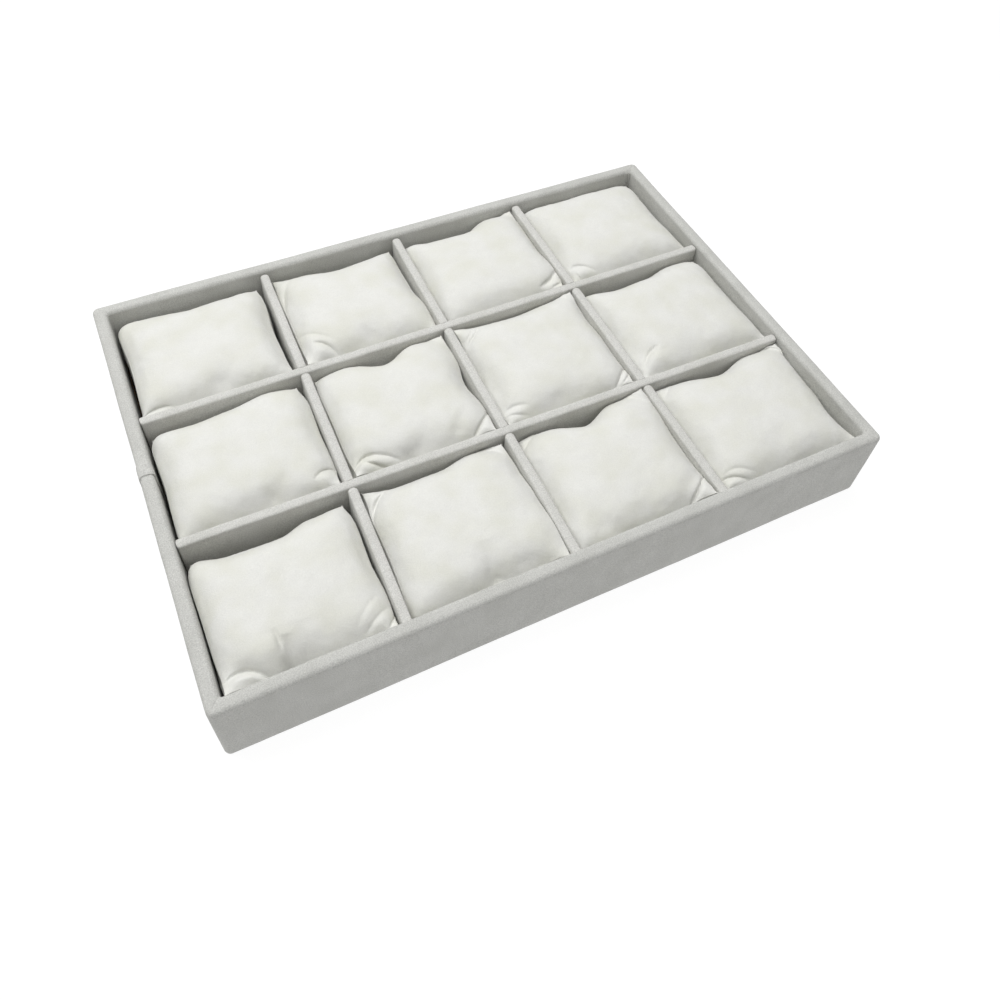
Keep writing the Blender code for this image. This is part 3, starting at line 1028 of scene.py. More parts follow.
ear_widths = {
    "r1c1": (0.20, 0.30, 0.32, 0.40),
    "r1c2": (0.35, 0.30, 0.38, 0.50),
    "r1c3": (0.20, 0.30, 0.42, 0.25),
    "r1c4": (0.20, 0.30, 0.30, 0.40),
    "r2c1": (0.30, 0.30, 0.42, 0.35),
    "r2c2": (0.30, 0.35, 0.48, 0.50),
    "r2c3": (0.45, 0.35, 0.48, 0.35),
    "r2c4": (0.20, 0.30, 0.30, 0.40),
    "r3c1": (0.25, 0.30, 0.35, 0.50),
    "r3c2": (0.45, 0.35, 0.50, 0.25),
    "r3c3": (0.30, 0.40, 0.52, 0.25),
    "r3c4": (0.30, 0.35, 0.30, 0.40),
}

# How far each side is drawn in between its corners, as a share of half the pillow: the back's left
# quarter, middle and right quarter, the left, the right's back quarter, middle and front quarter, the front
side_draws = {
    "r1c1": (0.07, 0.115, 0.095, 0.03, 0.02, 0.04, 0.03, 0.01),
    "r1c2": (0.08, 0.15, 0.12, 0.01, 0.03, 0.01, -0.06, 0.01),
    "r1c3": (0.12, 0.135, -0.03, 0.01, -0.07, -0.07, -0.12, 0.00),
    "r1c4": (0.02, 0.00, 0.02, 0.01, 0.02, 0.02, 0.01, 0.01),
    "r2c1": (0.10, 0.05, -0.02, 0.01, -0.03, -0.03, -0.04, 0.01),
    "r2c2": (-0.02, 0.13, -0.05, 0.01, -0.05, 0.01, -0.055, 0.00),
    "r2c3": (0.00, 0.00, -0.03, 0.01, -0.04, -0.08, -0.06, 0.00),
    "r2c4": (0.13, 0.085, 0.00, 0.01, -0.01, -0.02, -0.02, 0.01),
    "r3c1": (0.21, 0.21, 0.10, -0.02, 0.00, 0.00, -0.03, 0.01),
    "r3c2": (0.075, 0.055, -0.02, 0.01, -0.04, -0.11, -0.16, 0.00),
    "r3c3": (0.03, 0.145, -0.03, 0.01, -0.10, -0.07, -0.05, 0.00),
    "r3c4": (0.02, 0.09, -0.04, 0.01, -0.04, -0.03, 0.02, 0.00),
}
print("pillows", len(side_draws), "with", len(corner_lifts["r1c1"]), "corners each")

# %% [markdown]
# ## The grid of a pillow
# A panel is a square grid of points. Two numbers run from -1 to 1 over it, u from left to right and v from
# front to back, and all else about the pillow follows from them. A sculpted pillow could look as good, but
# twelve would take twelve times as long, and none could be made again at another size.

# %% Grid of a pillow
panel_steps = 32
edge_crowding = 0.75
pillow_gap = 0.0004
left_column_gap = 0.0010


def pillow_name(row, column):
    return f"r{row}c{column}"


def mixed_corners(u, v, values):
    """Blends four corner values over the panel."""
    shares = ((1 - u) * (1 + v), (1 + u) * (1 + v), (1 + u) * (1 - v), (1 - u) * (1 - v))
    return sum(share / 4 * value for share, value in zip(shares, values))


def free_corners(row, column):
    """A compartment's corners, moved in by the gap that is left beside a pillow."""
    corners = compartment(row, column)
    left_gap = left_column_gap if column == 1 else pillow_gap
    moves = [(left_gap, -pillow_gap), (-pillow_gap, -pillow_gap)]
    moves += [(-pillow_gap, pillow_gap), (left_gap, pillow_gap)]
    return [corner + np.array(move) for corner, move in zip(corners, moves)]


def panel_ruler(steps):
    """Places from -1 to 1 across a panel, closer together towards its rim, where the cloth bends most."""
    even = np.linspace(-1, 1, steps + 1)
    return even + edge_crowding * (np.sin(even * math.pi / 2) - even)


widest_step = float(np.diff(panel_ruler(panel_steps)).max())
print("the widest step is", round(widest_step, 3), "of half a pillow")

# %% [markdown]
# ## Fullness, ears and sides
# A stuffed pillow is full in the middle and thin at its rim. Its corners hold little wadding and stand up
# as loose ears, and its sides pull in between them. Each could be brushed in by hand, but as a small
# function it can be changed without touching the others.

# %% Fullness, ears and sides
edge_power = 3.0
left_roundness = 0.24
right_roundness = 0.27
front_roundness = 0.22
back_roundness = 0.27
corner_power = 2.5
least_swell = 0.2
side_press = 0.80
ear_spread = 1.5
ear_power = 1.5


def hump(ruler, middle):
    """A smooth hump of height 1, half a unit to each side of its middle; humps half a unit apart add to 1."""
    return np.where(np.abs(ruler - middle) < 0.5, np.cos(math.pi * (ruler - middle)) ** 2, 0.0)


def swelling(u, v):
    """The pillow's fullness over a panel: 0 on its rim and 1 in its middle, like a box with soft edges."""
    side_u = (1 - np.abs(u) ** edge_power) ** np.where(u < 0, left_roundness, right_roundness)
    side_v = (1 - np.abs(v) ** edge_power) ** np.where(v < 0, front_roundness, back_roundness)
    full = 1 - ((1 - side_u) ** corner_power + (1 - side_v) ** corner_power) ** (1 / corner_power)
    return np.maximum(full, least_swell * side_u * side_v)


def pressed(ruler):
    """Moves the points near a left or front side out to it, where the pillow is pressed flat against it."""
    closeness = np.clip(-ruler, 0, 1)
    return ruler - side_press * (1 - closeness) * closeness**3


def pinched(u, v, name):
    """How far each point of a panel belongs to the loose ear of a corner, from 0 to 1."""
    ear = mixed_corners(u, v, ear_widths[name])
    pinch = np.clip((np.abs(u) + np.abs(v) - (2 - 2 * ear)) / (ear_spread * ear), 0, 1)
    return pinch**ear_power * np.abs(u * v)


def drawn_in(u, v, draws):
    """How far each point of a panel is drawn in by its sides, along X and along Y."""
    back_left, back_middle, back_right, left, right_back, right_middle, right_front, front = draws
    back = back_left * hump(u, -0.5) + back_middle * hump(u, 0.0) + back_right * hump(u, 0.5)
    right = right_back * hump(v, 0.5) + right_middle * hump(v, 0.0) + right_front * hump(v, -0.5)
    draw_u = np.where(u < 0, left * (1 - v * v), right) * np.abs(u) ** 2
    draw_v = np.where(v > 0, back, front * (1 - u * u)) * np.abs(v) ** 2
    return draw_u, draw_v


print("fullness halfway to a corner", round(float(swelling(0.5, 0.5)), 2))

# %% [markdown]
# ## The two panels
# Both panels share one rim, the seam. The top one rises from it to the crown, and the bottom one falls to
# the floor, where it is pressed flat. A Solidify modifier would give both the same form, but here they
# differ, so each is worked out for itself.

# %% Pillow panels
pillow_rest = floor_top + pillow_gap
pillow_crown = rim_height + pillow_gap
seam_share = 0.56
pillow_seam = pillow_rest + seam_share * (pillow_crown - pillow_rest)
back_right_rounding = 0.035
rounding_power = 12
flat_lift = 0.25
underside_share = 1.4
sag_share = 0.9


def panel_points(row, column, steps):
    """The top and the bottom panel of a pillow, as two square grids of points with one rim."""
    name = pillow_name(row, column)
    ruler = panel_ruler(steps)
    u, v = np.meshgrid(ruler, ruler, indexing="ij")
    pinch = pinched(u, v, name)
    tuck = mixed_corners(u, v, corner_tucks[name]) * pinch
    lift = mixed_corners(u, v, corner_lifts[name])
    draw_u, draw_v = drawn_in(u, v, side_draws[name])
    rounded = back_right_rounding * (np.clip(u, 0, 1) * np.clip(v, 0, 1)) ** rounding_power
    across = pressed(u) * (1 - tuck - rounded) * (1 - draw_u)
    along = pressed(v) * (1 - tuck - rounded) * (1 - draw_v)
    x, y = (mixed_corners(across, along, [c[k] for c in free_corners(row, column)]) for k in (0, 1))
    swell = swelling(u, v)
    sag = 1 - sag_share * (draw_v * (v > 0) + draw_u * (u > 0))
    seam = pillow_seam + (lift - flat_lift) * pinch * (pillow_crown - pillow_seam)
    top = seam + (pillow_crown - pillow_seam) * swell * (1 - pinch) * sag
    bottom = seam - underside_share * (pillow_seam - pillow_rest) * swell
    bottom = np.maximum(bottom, pillow_rest)
    return np.stack([x, y, top], -1), np.stack([x, y, bottom], -1)


def pillow_mesh(name, top, bottom):
    """Joins two panels along their common rim into one closed mesh."""
    count = len(top)
    index = np.zeros((2, count, count), int)
    inner = np.zeros((count, count), bool)
    inner[1:-1, 1:-1] = True
    index[0] = np.arange(count * count).reshape(count, count)
    index[1] = index[0]
    index[1][inner] = count * count + np.arange(inner.sum())
    points = np.concatenate([top.reshape(-1, 3), bottom[inner]])
    faces = []
    for side, table in enumerate(index):
        corners = [table[:-1, :-1], table[1:, :-1], table[1:, 1:], table[:-1, 1:]]
        squares = np.stack(corners, -1).reshape(-1, 4)
        faces.append(squares if side == 0 else squares[:, ::-1])
    mesh = bpy.data.meshes.new(name)
    mesh.from_pydata(points.tolist(), [], np.concatenate(faces).tolist())
    return mesh, index


start_panels = {place: panel_points(*place, panel_steps) for place in places}
print("pillows", len(start_panels), "each of two panels,", panel_steps, "steps across")

# %% [markdown]
# ## Blowing the pillows up
# A cloth simulation works best at the size of a chair or a table, so the pillows are simulated twenty
# times as large, with all twelve in one run. The cloth is told to grow a little while the seam is held
# near its place, and pressure holds it out. The extra cloth has nowhere to go, so it bulges and wrinkles
# near the seam and the corners, as sewn cloth does. No point may end far from where the formula put it.

# %% Cloth simulation
simulation_scale = 20.0
simulation_frames = 24
simulation_pressure = 6.0
cloth_growth = 0.015
most_travel = 0.0030
least_length = 1e-9
smoothing_passes = 3
seam_hold = 0.6
cloth_settings = {
    "vertex_group_mass": "held",
    "pin_stiffness": seam_hold,
    "mass": 0.02,
    "quality": 6,
    "tension_stiffness": 15,
    "compression_stiffness": 8,
    "shear_stiffness": 4,
    "bending_stiffness": 0.06,
    "air_damping": 2,
    "shrink_min": -cloth_growth,
    "use_pressure": True,
    "uniform_pressure_force": simulation_pressure,
}


def add_cloth(pillow, rim):
    modifier = pillow.modifiers.new("cloth", "CLOTH")
    held = pillow.vertex_groups.new(name="held")
    held.add([int(point) for point in rim], seam_hold, "REPLACE")
    for name, value in cloth_settings.items():
        setattr(modifier.settings, name, value)
    modifier.settings.effector_weights.gravity = 0
    modifier.collision_settings.use_collision = False


def inflated(panels):
    """Runs the cloth simulation on all pillows and returns their panels afterwards."""
    pillows = {}
    for place, (top, bottom) in panels.items():
        mesh, index = pillow_mesh("cloth", top * simulation_scale, bottom * simulation_scale)
        pillow = add_object("cloth", mesh)
        rim = np.concatenate([index[0][0], index[0][-1], index[0][:, 0], index[0][:, -1]])
        add_cloth(pillow, np.unique(rim))
        pillows[place] = (pillow, index)
    for step in range(1, simulation_frames + 1):
        bpy.context.scene.frame_set(step)
    view = bpy.context.evaluated_depsgraph_get()
    results = {}
    for place, (pillow, index) in pillows.items():
        mesh = pillow.evaluated_get(view).to_mesh()
        points = np.array([vertex.co for vertex in mesh.vertices]) / simulation_scale
        results[place] = [limited(points[index[side]], panels[place][side]) for side in (0, 1)]
        bpy.data.objects.remove(pillow)
    bpy.context.scene.frame_set(1)
    return results


def smoothed(travel):
    """Evens out a panel's travel from point to point, so that only wrinkles wider than the grid stay."""
    for _ in range(smoothing_passes):
        for axis in (0, 1):
            last = travel.shape[axis] - 1
            before = np.take(travel, [0, *range(last)], axis)
            after = np.take(travel, [*range(1, last + 1), last], axis)
            travel = travel / 2 + (before + after) / 4
    return travel


def limited(points, start):
    """Keeps every point within its longest travel from the start."""
    travel = smoothed(points - start)
    length = np.linalg.norm(travel, axis=-1, keepdims=True)
    soft = most_travel * np.tanh(length / most_travel)
    return start + travel * soft / np.maximum(length, least_length)


panels = inflated(start_panels)
travel = max(float(np.abs(panels[place][0] - start_panels[place][0]).max()) for place in places)
print("largest travel in the simulation", round(travel * 1000, 2), "mm")

# %% [markdown]
# ## Folds
# The fine grid comes next: the simulated panels are drawn again five times as fine. Then each fold that
# the photograph shows is pressed in. A fold is a curve through three places in the picture, a valley along
# it, and a roll of cloth beside the valley. Working in the picture's own plane puts each fold exactly where
# it is seen, on the real surface of the pillow.

# %% Fine panels
fine_share = 5
fine_steps = panel_steps * fine_share
least_area = 1e-12


def smoothing_table(coarse, fine):
    """The weights that draw a row of points again more finely, on a smooth curve through them."""
    table = np.zeros((fine + 1, coarse + 1))
    for k in range(fine + 1):
        place = k * coarse / fine
        first = min(int(place), coarse - 1)
        t = place - first
        weights = (
            (-t + 2 * t**2 - t**3) / 2,
            (2 - 5 * t**2 + 3 * t**3) / 2,
            (t + 4 * t**2 - 3 * t**3) / 2,
            (t**3 - t**2) / 2,
        )
        for offset, weight in zip((-1, 0, 1, 2), weights):
            table[k, min(max(first + offset, 0), coarse)] += weight
    return table


table = smoothing_table(panel_steps, fine_steps)


def drawn_finely(panel):
    return np.einsum("ai,ijk,bj->abk", table, panel, table)


fine_panels = {place: [drawn_finely(panel) for panel in both] for place, both in panels.items()}


def in_picture(points):
    """The picture's pixel that shows each point."""
    seen = np.array(camera_matrix.inverted())
    local = points @ seen[:3, :3].T + seen[:3, 3]
    across = optical_centre_pixels[0] - focal_length_pixels * local[..., 0] / local[..., 2]
    down = optical_centre_pixels[1] + focal_length_pixels * local[..., 1] / local[..., 2]
    return np.stack([across, down], -1)


def panel_normals(panel):
    """The direction out of a panel's face at each of its points."""
    normal = np.cross(np.gradient(panel, axis=0), np.gradient(panel, axis=1))
    return normal / np.maximum(np.linalg.norm(normal, axis=-1, keepdims=True), least_area)


print("fine panels", fine_steps, "steps across")

# %% [markdown]
# ## Where the folds are
# Each fold is its start, middle and end in the picture, the depth of its thin crease, how far the body
# rolls down towards it and over how many pixels, and the rise of the flap on the other side. A rise's sign
# says on which side of the way along the curve the flap lies: above 0 it is below a curve that heads
# right. Each hollow is a stretch from its deep end to its shallow end in the picture, its half width in
# pixels and its depth. A bulge has a depth below zero. Folds put in by eye could look as real, but only
# folds read off the picture can be checked against it.

# %% Folds and hollows in the photograph
fold_list = {
    "r1c1": [
        ((140, 424), (153, 411), (174, 406), 0.0008, 0.0016, 6, 0.0009),
    ],
    "r1c2": [
        ((296, 343), (313, 334), (338, 341), 0.0004, 0.0016, 7, 0.0006),
        ((312, 343), (327, 345), (340, 358), 0.0010, 0.0022, 5, 0.0008),
        ((292, 278), (285, 295), (288, 316), 0.0006, 0.0022, 8, 0.0008),
    ],
    "r1c3": [
        ((556, 268), (551, 278), (540, 287), 0.0016, 0.0022, 5, -0.0010),
        ((568, 277), (561, 283), (552, 287), 0.0008, 0.0005, 3, -0.0003),
    ],
    "r1c4": [
        ((570, 272), (579, 266), (597, 271), 0.0008, 0.0018, 6, 0.0007),
        ((572, 264), (581, 258), (594, 256), 0.0000, 0.0006, 7, 0.0003),
    ],
    "r2c1": [
        ((158, 438), (153, 451), (156, 468), 0.0004, 0.0012, 6, 0.0002),
        ((314, 480), (328, 470), (349, 479), 0.0012, 0.0026, 8, 0.0008),
    ],
    "r2c2": [
        ((353, 481), (368, 456), (403, 461), 0.0010, 0.0030, 9, 0.0008),
        ((361, 463), (375, 464), (391, 471), 0.0012, 0.0010, 3, 0.0004),
        ((491, 409), (482, 422), (475, 437), 0.0018, 0.0018, 4, -0.0008),
        ((322, 379), (318, 391), (319, 404), 0.0003, 0.0010, 5, 0.0003),
    ],
    "r2c3": [
        ((481, 324), (475, 335), (467, 349), 0.0012, 0.0018, 7, 0.0005),
        ((475, 325), (470, 335), (464, 346), 0.0006, 0.0005, 3, 0.0003),
        ((628, 361), (622, 373), (616, 388), 0.0014, 0.0020, 5, -0.0008),
        ((632, 368), (629, 375), (623, 383), 0.0014, 0.0006, 2, -0.0004),
        ((504, 417), (513, 407), (530, 404), 0.0004, 0.0014, 6, 0.0006),
        ((505, 421), (514, 415), (530, 416), 0.0004, 0.0006, 3, 0.0003),
    ],
    "r2c4": [
        ((644, 371), (649, 354), (660, 344), 0.0006, 0.0026, 9, 0.0008),
        ((652, 360), (657, 351), (671, 348), 0.0001, 0.0005, 5, 0.0003),
    ],
    "r3c1": [
        ((272, 628), (278, 638), (282, 654), 0.0009, 0.0008, 5, 0.0004),
        ((219, 690), (246, 671), (275, 683), 0.0014, 0.0038, 13, 0.0010),
        ((386, 592), (368, 604), (356, 634), 0.0001, 0.0006, 7, -0.0003),
        ((396, 604), (378, 616), (362, 644), 0.0002, 0.0007, 6, -0.0003),
        ((405, 611), (396, 616), (390, 629), 0.0012, 0.0010, 3, -0.0005),
    ],
    "r3c2": [
        ((391, 487), (377, 503), (374, 526), 0.0014, 0.0026, 8, 0.0008),
        ((472, 457), (490, 451), (509, 456), 0.0010, 0.0022, 5, -0.0006),
    ],
    "r3c3": [
        ((537, 433), (528, 443), (523, 457), 0.0010, 0.0022, 7, 0.0006),
        ((618, 404), (634, 399), (652, 404), 0.0008, 0.0018, 5, -0.0005),
        ((707, 468), (699, 488), (690, 508), 0.0022, 0.0014, 3, -0.0008),
        ((700, 466), (692, 480), (680, 493), 0.0000, 0.0014, 9, -0.0010),
    ],
    "r3c4": [
        ((719, 487), (732, 477), (753, 482), 0.0010, 0.0020, 6, 0.0008),
        ((723, 477), (737, 468), (758, 473), 0.0003, 0.0008, 6, 0.0004),
        ((680, 379), (670, 387), (665, 400), 0.0006, 0.0012, 5, 0.0002),
        ((758, 353), (772, 349), (786, 356), 0.0008, 0.0018, 5, -0.0005),
    ],
}
hollow_list = {
    "r1c1": [((222, 380), (244, 344), 13, 0.0020), ((160, 380), (175, 360), 14, 0.0004)],
    "r1c2": [((372, 332), (390, 304), 13, 0.0016), ((298, 325), (302, 298), 7, 0.0010)],
    "r1c3": [((440, 320), (474, 296), 14, 0.0014), ((416, 285), (418, 262), 6, 0.0008)],
    "r1c4": [((600, 256), (628, 236), 14, 0.0012), ((552, 254), (556, 236), 7, 0.0010)],
    "r2c1": [((275, 496), (300, 456), 14, 0.0020), ((178, 505), (182, 480), 8, 0.0006)],
    "r2c2": [((412, 456), (436, 420), 12, 0.0022), ((458, 428), (464, 404), 7, 0.0012)],
    "r2c3": [((498, 388), (494, 358), 9, 0.0012), ((562, 398), (590, 372), 13, 0.0013)],
    "r2c4": [((636, 352), (630, 326), 9, 0.0014), ((690, 344), (714, 318), 14, 0.0012)],
    "r3c1": [
        ((310, 674), (296, 620), 16, 0.0028),
        ((293, 676), (285, 634), 7, 0.0042),
        ((262, 668), (258, 636), 15, -0.0014),
        ((246, 688), (252, 680), 10, -0.0010),
        ((330, 624), (348, 584), 15, 0.0009),
    ],
    "r3c2": [((496, 578), (484, 540), 11, 0.0030), ((524, 562), (508, 528), 13, 0.0008)],
    "r3c3": [((602, 524), (592, 488), 12, 0.0018), ((640, 508), (664, 474), 14, 0.0008)],
    "r3c4": [((776, 444), (798, 412), 14, 0.0012), ((702, 456), (710, 430), 9, 0.0008)],
}
print("folds", sum(map(len, fold_list.values())), "hollows", sum(map(len, hollow_list.values())))

# %% [markdown]
# ## Pressing them in
# Across a fold, the body falls away softly on one side, the crease is a narrow slit, and the flap rises
# on the other side. Along a fold, all three fade out towards its ends. A simulation would put folds in
# places of its own, so they are pressed in along the line of sight, where the cloth faces the camera.

# %% Folded panels
slit_half_width = 1.4
flap_edge = 4.0
soft_edge = 9.0
flap_reach = 20.0
fully_seen = 0.30
slit_taper = 0.6
fold_taper = 1.3
hollow_taper = 0.7
curve_samples = 48


def fold_height(pixels, start, middle, end, crease, roll, width, rise):
    """How far a fold raises or lowers a surface at each pixel."""
    start, middle, end = (np.array(pixel, float) for pixel in (start, middle, end))
    control = 2 * middle - (start + end) / 2
    t = np.linspace(0, 1, curve_samples)[:, None]
    curve = (1 - t) ** 2 * start + 2 * t * (1 - t) * control + t**2 * end
    flat = pixels.reshape(-1, 2)
    apart = flat[:, None, :] - curve[None]
    distances = np.linalg.norm(apart, axis=-1)
    nearest = distances.argmin(1)
    row = np.arange(len(flat))
    distance = distances[row, nearest]
    tangent = np.gradient(curve, axis=0)[nearest]
    on_flap = np.cross(tangent, apart[row, nearest]) * rise > 0
    share = nearest / (curve_samples - 1)
    arc = np.clip(np.sin(np.pi * share), 0, 1)
    slit = crease * arc**slit_taper * bell(distance, slit_half_width)
    edge = bell(distance, flap_edge if crease else soft_edge)
    flap = abs(rise) * (1 - edge) * bell(distance, flap_reach) - roll * edge
    body = np.exp(-distance / width) if crease else bell(distance, width)
    height = np.where(on_flap, flap, -roll * body) * arc**fold_taper - slit
    return height.reshape(pixels.shape[:-1])


def hollow_height(pixels, start, end, width, depth):
    """How far a soft hollow lowers a surface at each pixel."""
    start, run = np.array(start, float), np.array(end, float) - np.array(start, float)
    share = np.clip((pixels - start) @ run / (run @ run), 0, 1)
    distance = np.linalg.norm(pixels - start - share[..., None] * run, axis=-1)
    return -depth * (1 - share) ** hollow_taper * bell(distance, width)


def folded(place, panel):
    """Presses a pillow's hollows and folds into its top panel, along the line of sight."""
    name = pillow_name(*place)
    pixels = in_picture(panel)
    height = sum(fold_height(pixels, *fold) for fold in fold_list[name])
    height += sum(hollow_height(pixels, *hollow) for hollow in hollow_list[name])
    toward_camera = np.array(camera_matrix.translation) - panel
    toward_camera /= np.linalg.norm(toward_camera, axis=-1, keepdims=True)
    facing = np.sum(panel_normals(panel) * toward_camera, -1)
    seen = np.clip(facing / fully_seen, 0, 1)
    return panel + toward_camera * (height * seen)[..., None]


deepest_fold = float(fold_height(in_picture(fine_panels[1, 1][0]), *fold_list["r1c1"][0]).min())
print("deepest point of the first fold", round(deepest_fold * 1000, 2), "mm")

# %% [markdown]
# ## Seams and small unevenness
# The seam that joins the two panels is a narrow groove with small puckers, one at each stitch. Wadding is
# lumpy, so soft noise goes into the faces too. Bump could show both, but not on the pillow's outline, so
# the points themselves are moved.

# %% Seams and lumps
seam_groove = 0.0004
seam_reach = 0.0009
pucker_height = 0.00004
pucker_spacing = 0.0045
pucker_reach = 0.005
pucker_drift = 5.0
pucker_drift_size = 0.02
lump_start = 0.004
lump_height = 0.00070
lump_size = 0.020
crease_height = 0.00018
crease_size = 0.005


def noise_field(points, size, seed):
    """Soft noise, from about -1 to 1, at each point of a panel."""
    offset = Vector((seed, 2.0 * seed, 0.0))
    flat = [noise.noise(Vector(point) / size + offset) for point in points.reshape(-1, 3)]
    return np.array(flat).reshape(points.shape[:-1])


def rim_distance(panel):
    """How far each point of a panel is from the panel's rim, along the cloth."""
    ruler = panel_ruler(len(panel) - 1)
    u, v = np.meshgrid(ruler, ruler, indexing="ij")
    half_side = np.linalg.norm(panel[-1, len(panel) // 2] - panel[0, len(panel) // 2]) / 2
    return np.minimum(1 - np.abs(u), 1 - np.abs(v)) * half_side, u, v


def surfaced(panel, seed):
    """Adds the seam's groove and puckers and the wadding's lumps to a panel."""
    distance, u, v = rim_distance(panel)
    near = bell(distance, seam_reach)
    run = np.where(np.abs(u) > np.abs(v), panel[..., 1], panel[..., 0])
    drift = pucker_drift * noise_field(panel, pucker_drift_size, seed)
    pucker = np.sin(2 * math.pi * run / pucker_spacing + drift) * pucker_height
    pucker *= bell(distance, pucker_reach) * (1 - near)
    lumps = lump_height * noise_field(panel, lump_size, seed)
    lumps += crease_height * noise_field(panel, crease_size, seed)
    lumps *= 1 - bell(distance, lump_start)
    height = pucker + lumps - seam_groove * near
    return panel + panel_normals(panel) * height[..., None]


print("a pucker every", round(pucker_spacing * 1000, 1), "mm along a seam")

# %% [markdown]
# ## Into the compartments
# Last, every point is kept inside the compartment and above the floor, so that no pillow reaches into a
# divider. A Boolean could cut off what stands out, but it would leave a sharp edge in soft cloth. Points
# that are moved back flatten the pillow there, as the real divider does.

# %% Finished pillows
closest_approach = 0.0003


def kept_inside(place, panel):
    """Moves points that stray over a compartment's edge, or under its floor, back to it."""
    corners = compartment(*place)
    for k in range(4):
        first, second = corners[k], corners[(k + 1) % 4]
        run = (second - first) / np.linalg.norm(second - first)
        inward = np.array((run[1], -run[0]))
        gap = (panel[..., :2] - first) @ inward - closest_approach
        panel[..., :2] -= np.minimum(gap, 0)[..., None] * inward
    panel[..., 2] = np.maximum(panel[..., 2], pillow_rest)
    return panel


def make_pillow(place, number):
    top, bottom = fine_panels[place]
    top = surfaced(folded(place, top), number)
    bottom = surfaced(bottom[::-1], number + 0.5)[::-1]
    rim = rim_distance(top)[0] < least_length
    bottom[rim] = top[rim]
    top, bottom = kept_inside(place, top), kept_inside(place, bottom)
    name = pillow_name(*place)
    mesh, _ = pillow_mesh(f"pillow_{name}", top, bottom)
    pillow = finished_piece(f"pillow_{name}", mesh, pillow_velvet)
    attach(pillow, f"pillow_{name}")
    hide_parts(f"pillow_cover_{name}")
    return top, bottom


finished_panels = {place: make_pillow(place, number) for number, place in enumerate(places)}

# %% [markdown]
# ## Closing stitches
# A pillow is turned and stuffed through a gap in its front seam, and the gap is then sewn shut by hand with
# a slanting stitch every few millimetres. Modelled one by one they would be hard to keep even, so a Geometry
# Nodes tree sets them out: the seam's points become a curve, the curve is measured off at even steps, and a
# short arched thread is placed across it at each step.

# %% Stitch tree
stitch_inputs = {
    "Spacing": 0.0042,
    "Reach": 0.0013,
    "Slant": 0.0007,
    "Arch": 0.00012,
    "Thread Radius": 0.00018,
}
stitch_kinds = {"Seam": "Geometry", **dict.fromkeys(stitch_inputs, "Float"), "Thread": "Material"}
thread_sides = 8
thread_steps = 6


def make_stitch_tree():
    tree, size = new_tree("closing_stitches", stitch_kinds, stitch_inputs)
    seam = wire_from(tree, "GeometryNodeMeshToCurve", {"Mesh": size["Seam"]})
    measuring = {"Curve": seam, "Length": size["Spacing"]}
    measured = wire_from(tree, "GeometryNodeResampleCurve", measuring, {"mode": "LENGTH"})
    tangent = wire_from(tree, "GeometryNodeInputTangent")
    turn = wire_from(tree, "FunctionNodeAlignRotationToVector", {"Vector": tangent}, {"axis": "X"})

    ends = {
        "Start": vector(tree, X=size["Slant"] * -1.0, Z=size["Reach"] * -1.0),
        "Middle": vector(tree, Y=size["Arch"] * -2.0),
        "End": vector(tree, X=size["Slant"], Z=size["Reach"]),
    }
    line = wire_from(tree, "GeometryNodeCurveQuadraticBezier", {"Resolution": thread_steps, **ends})
    round_inputs = {"Resolution": thread_sides, "Radius": size["Thread Radius"]}
    circle = wire_from(tree, "GeometryNodeCurvePrimitiveCircle", round_inputs)
    sweep = {"Curve": line, "Profile Curve": circle, "Fill Caps": True}
    stitch = wire_from(tree, "GeometryNodeCurveToMesh", sweep)

    placing = {"Points": measured, "Instance": stitch, "Rotation": turn}
    end_tree(tree, wire_from(tree, "GeometryNodeInstanceOnPoints", placing), size["Thread"])
    return tree


stitch_tree = make_stitch_tree()
print("stitch tree", len(stitch_tree.nodes), "nodes")

# %% [markdown]
# ## Sewing the gaps shut
# The row of stitches takes the middle of each front seam and lies just under the cloth's face, so that
# only the thread's arch stands out. Placed by hand, it would have to be moved again after each change to
# a pillow, so the row is read from the finished panel.

# %% Closing stitches on each pillow
closed_share = 0.40
thread_sunk = 0.00018


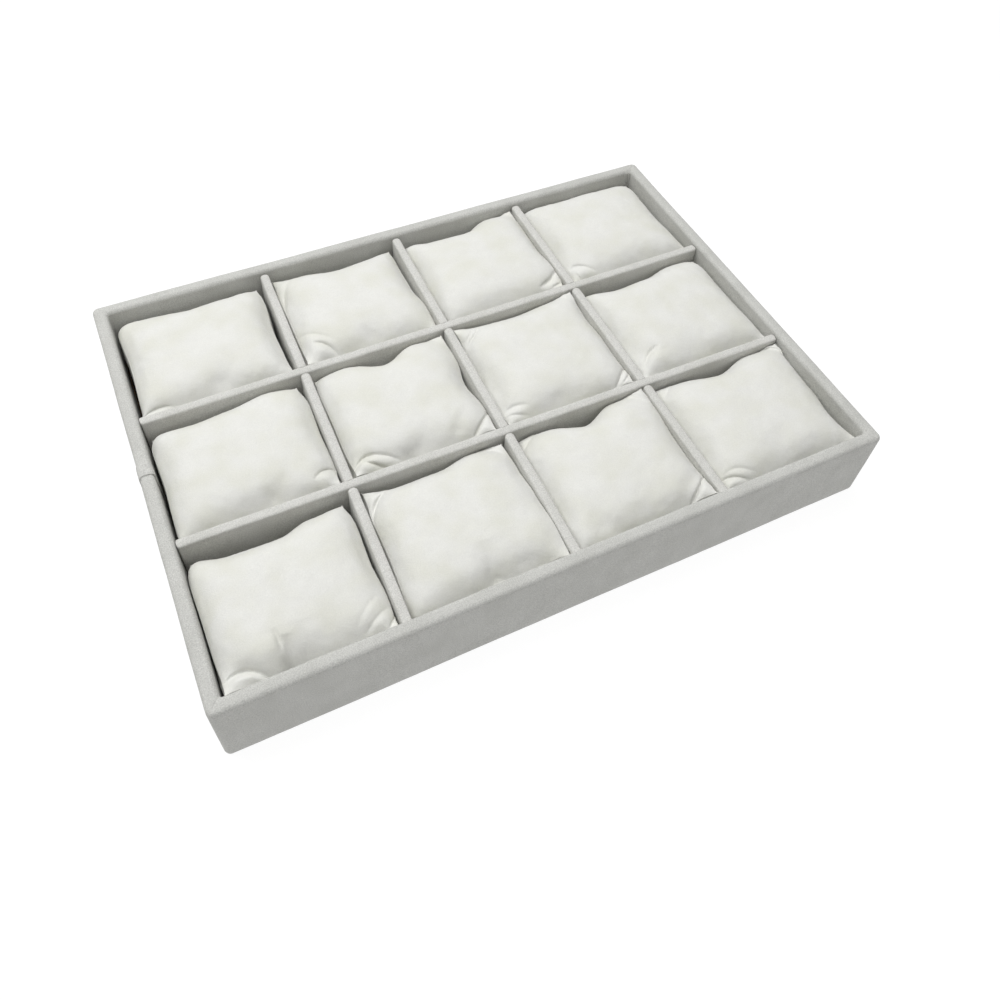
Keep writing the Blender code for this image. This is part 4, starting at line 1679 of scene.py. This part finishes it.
def seam_mesh(top):
    """The middle of a pillow's front seam, just under the cloth, as a row of points joined by edges."""
    ruler = panel_ruler(len(top) - 1)
    points = top[np.abs(ruler) < closed_share, 0] + np.array((0, thread_sunk, 0))
    mesh = bpy.data.meshes.new("seam")
    mesh.from_pydata(points.tolist(), [(k, k + 1) for k in range(len(points) - 1)], [])
    return mesh


def make_stitches(place, top):
    name = pillow_name(*place)
    values = {**stitch_inputs, "Thread": thread_finish}
    mesh = mesh_from_tree(stitch_tree, values, seam_mesh(top))
    piece = finished_piece(f"closing_stitches_{name}", mesh, thread_finish)
    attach(piece, f"pillow_{name}")
    return piece


for place, (top, bottom) in finished_panels.items():
    stitches = make_stitches(place, top)
print("stitches on r3c4", len(stitches.data.vertices) // (thread_sides * (thread_steps + 1)))

# %% [markdown]
# ## Wadding
# Inside each cover is a pad of wadding. It doesn't show, but it is a piece of the real pillow. A plain
# block would come through the cover at its thin corners, so the pad gets the pillow's own form, drawn in
# from the cover all round.

# %% Wadding pads
wadding_share = 0.90
wadding_skip = 4
wadding_window = 8
wadding_depth = 0.0006
least_wadding = 0.15


def lowest_nearby(heights):
    """The lowest height round each point of a grid."""
    padded = np.pad(heights, wadding_window, mode="edge")
    size = 2 * wadding_window + 1
    return np.lib.stride_tricks.sliding_window_view(padded, (size, size)).min((2, 3))


def make_wadding(place, panels):
    name = pillow_name(*place)
    top, bottom = (panel.copy() for panel in panels)
    middle = (top[..., 2] + bottom[..., 2]) / 2
    spare = (top[..., 2] - bottom[..., 2]) * least_wadding
    top[..., 2] = np.maximum(lowest_nearby(top[..., 2]) - wadding_depth, middle + spare)
    bottom[..., 2] = np.minimum(wadding_depth - lowest_nearby(-bottom[..., 2]), middle - spare)
    coarse = [panel[::wadding_skip, ::wadding_skip] for panel in (top, bottom)]
    centre = (coarse[0].reshape(-1, 3).mean(0) + coarse[1].reshape(-1, 3).mean(0)) / 2
    coarse = [centre + (panel - centre) * wadding_share for panel in coarse]
    mesh, _ = pillow_mesh(f"wadding_{name}", *coarse)
    pad = finished_piece(f"wadding_{name}", mesh, finishes["white_wadding"])
    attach(pad, f"pillow_{name}")
    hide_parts(f"pillow_filling_{name}")


for place, both in finished_panels.items():
    make_wadding(place, both)
print("wadding pads", len(finished_panels))
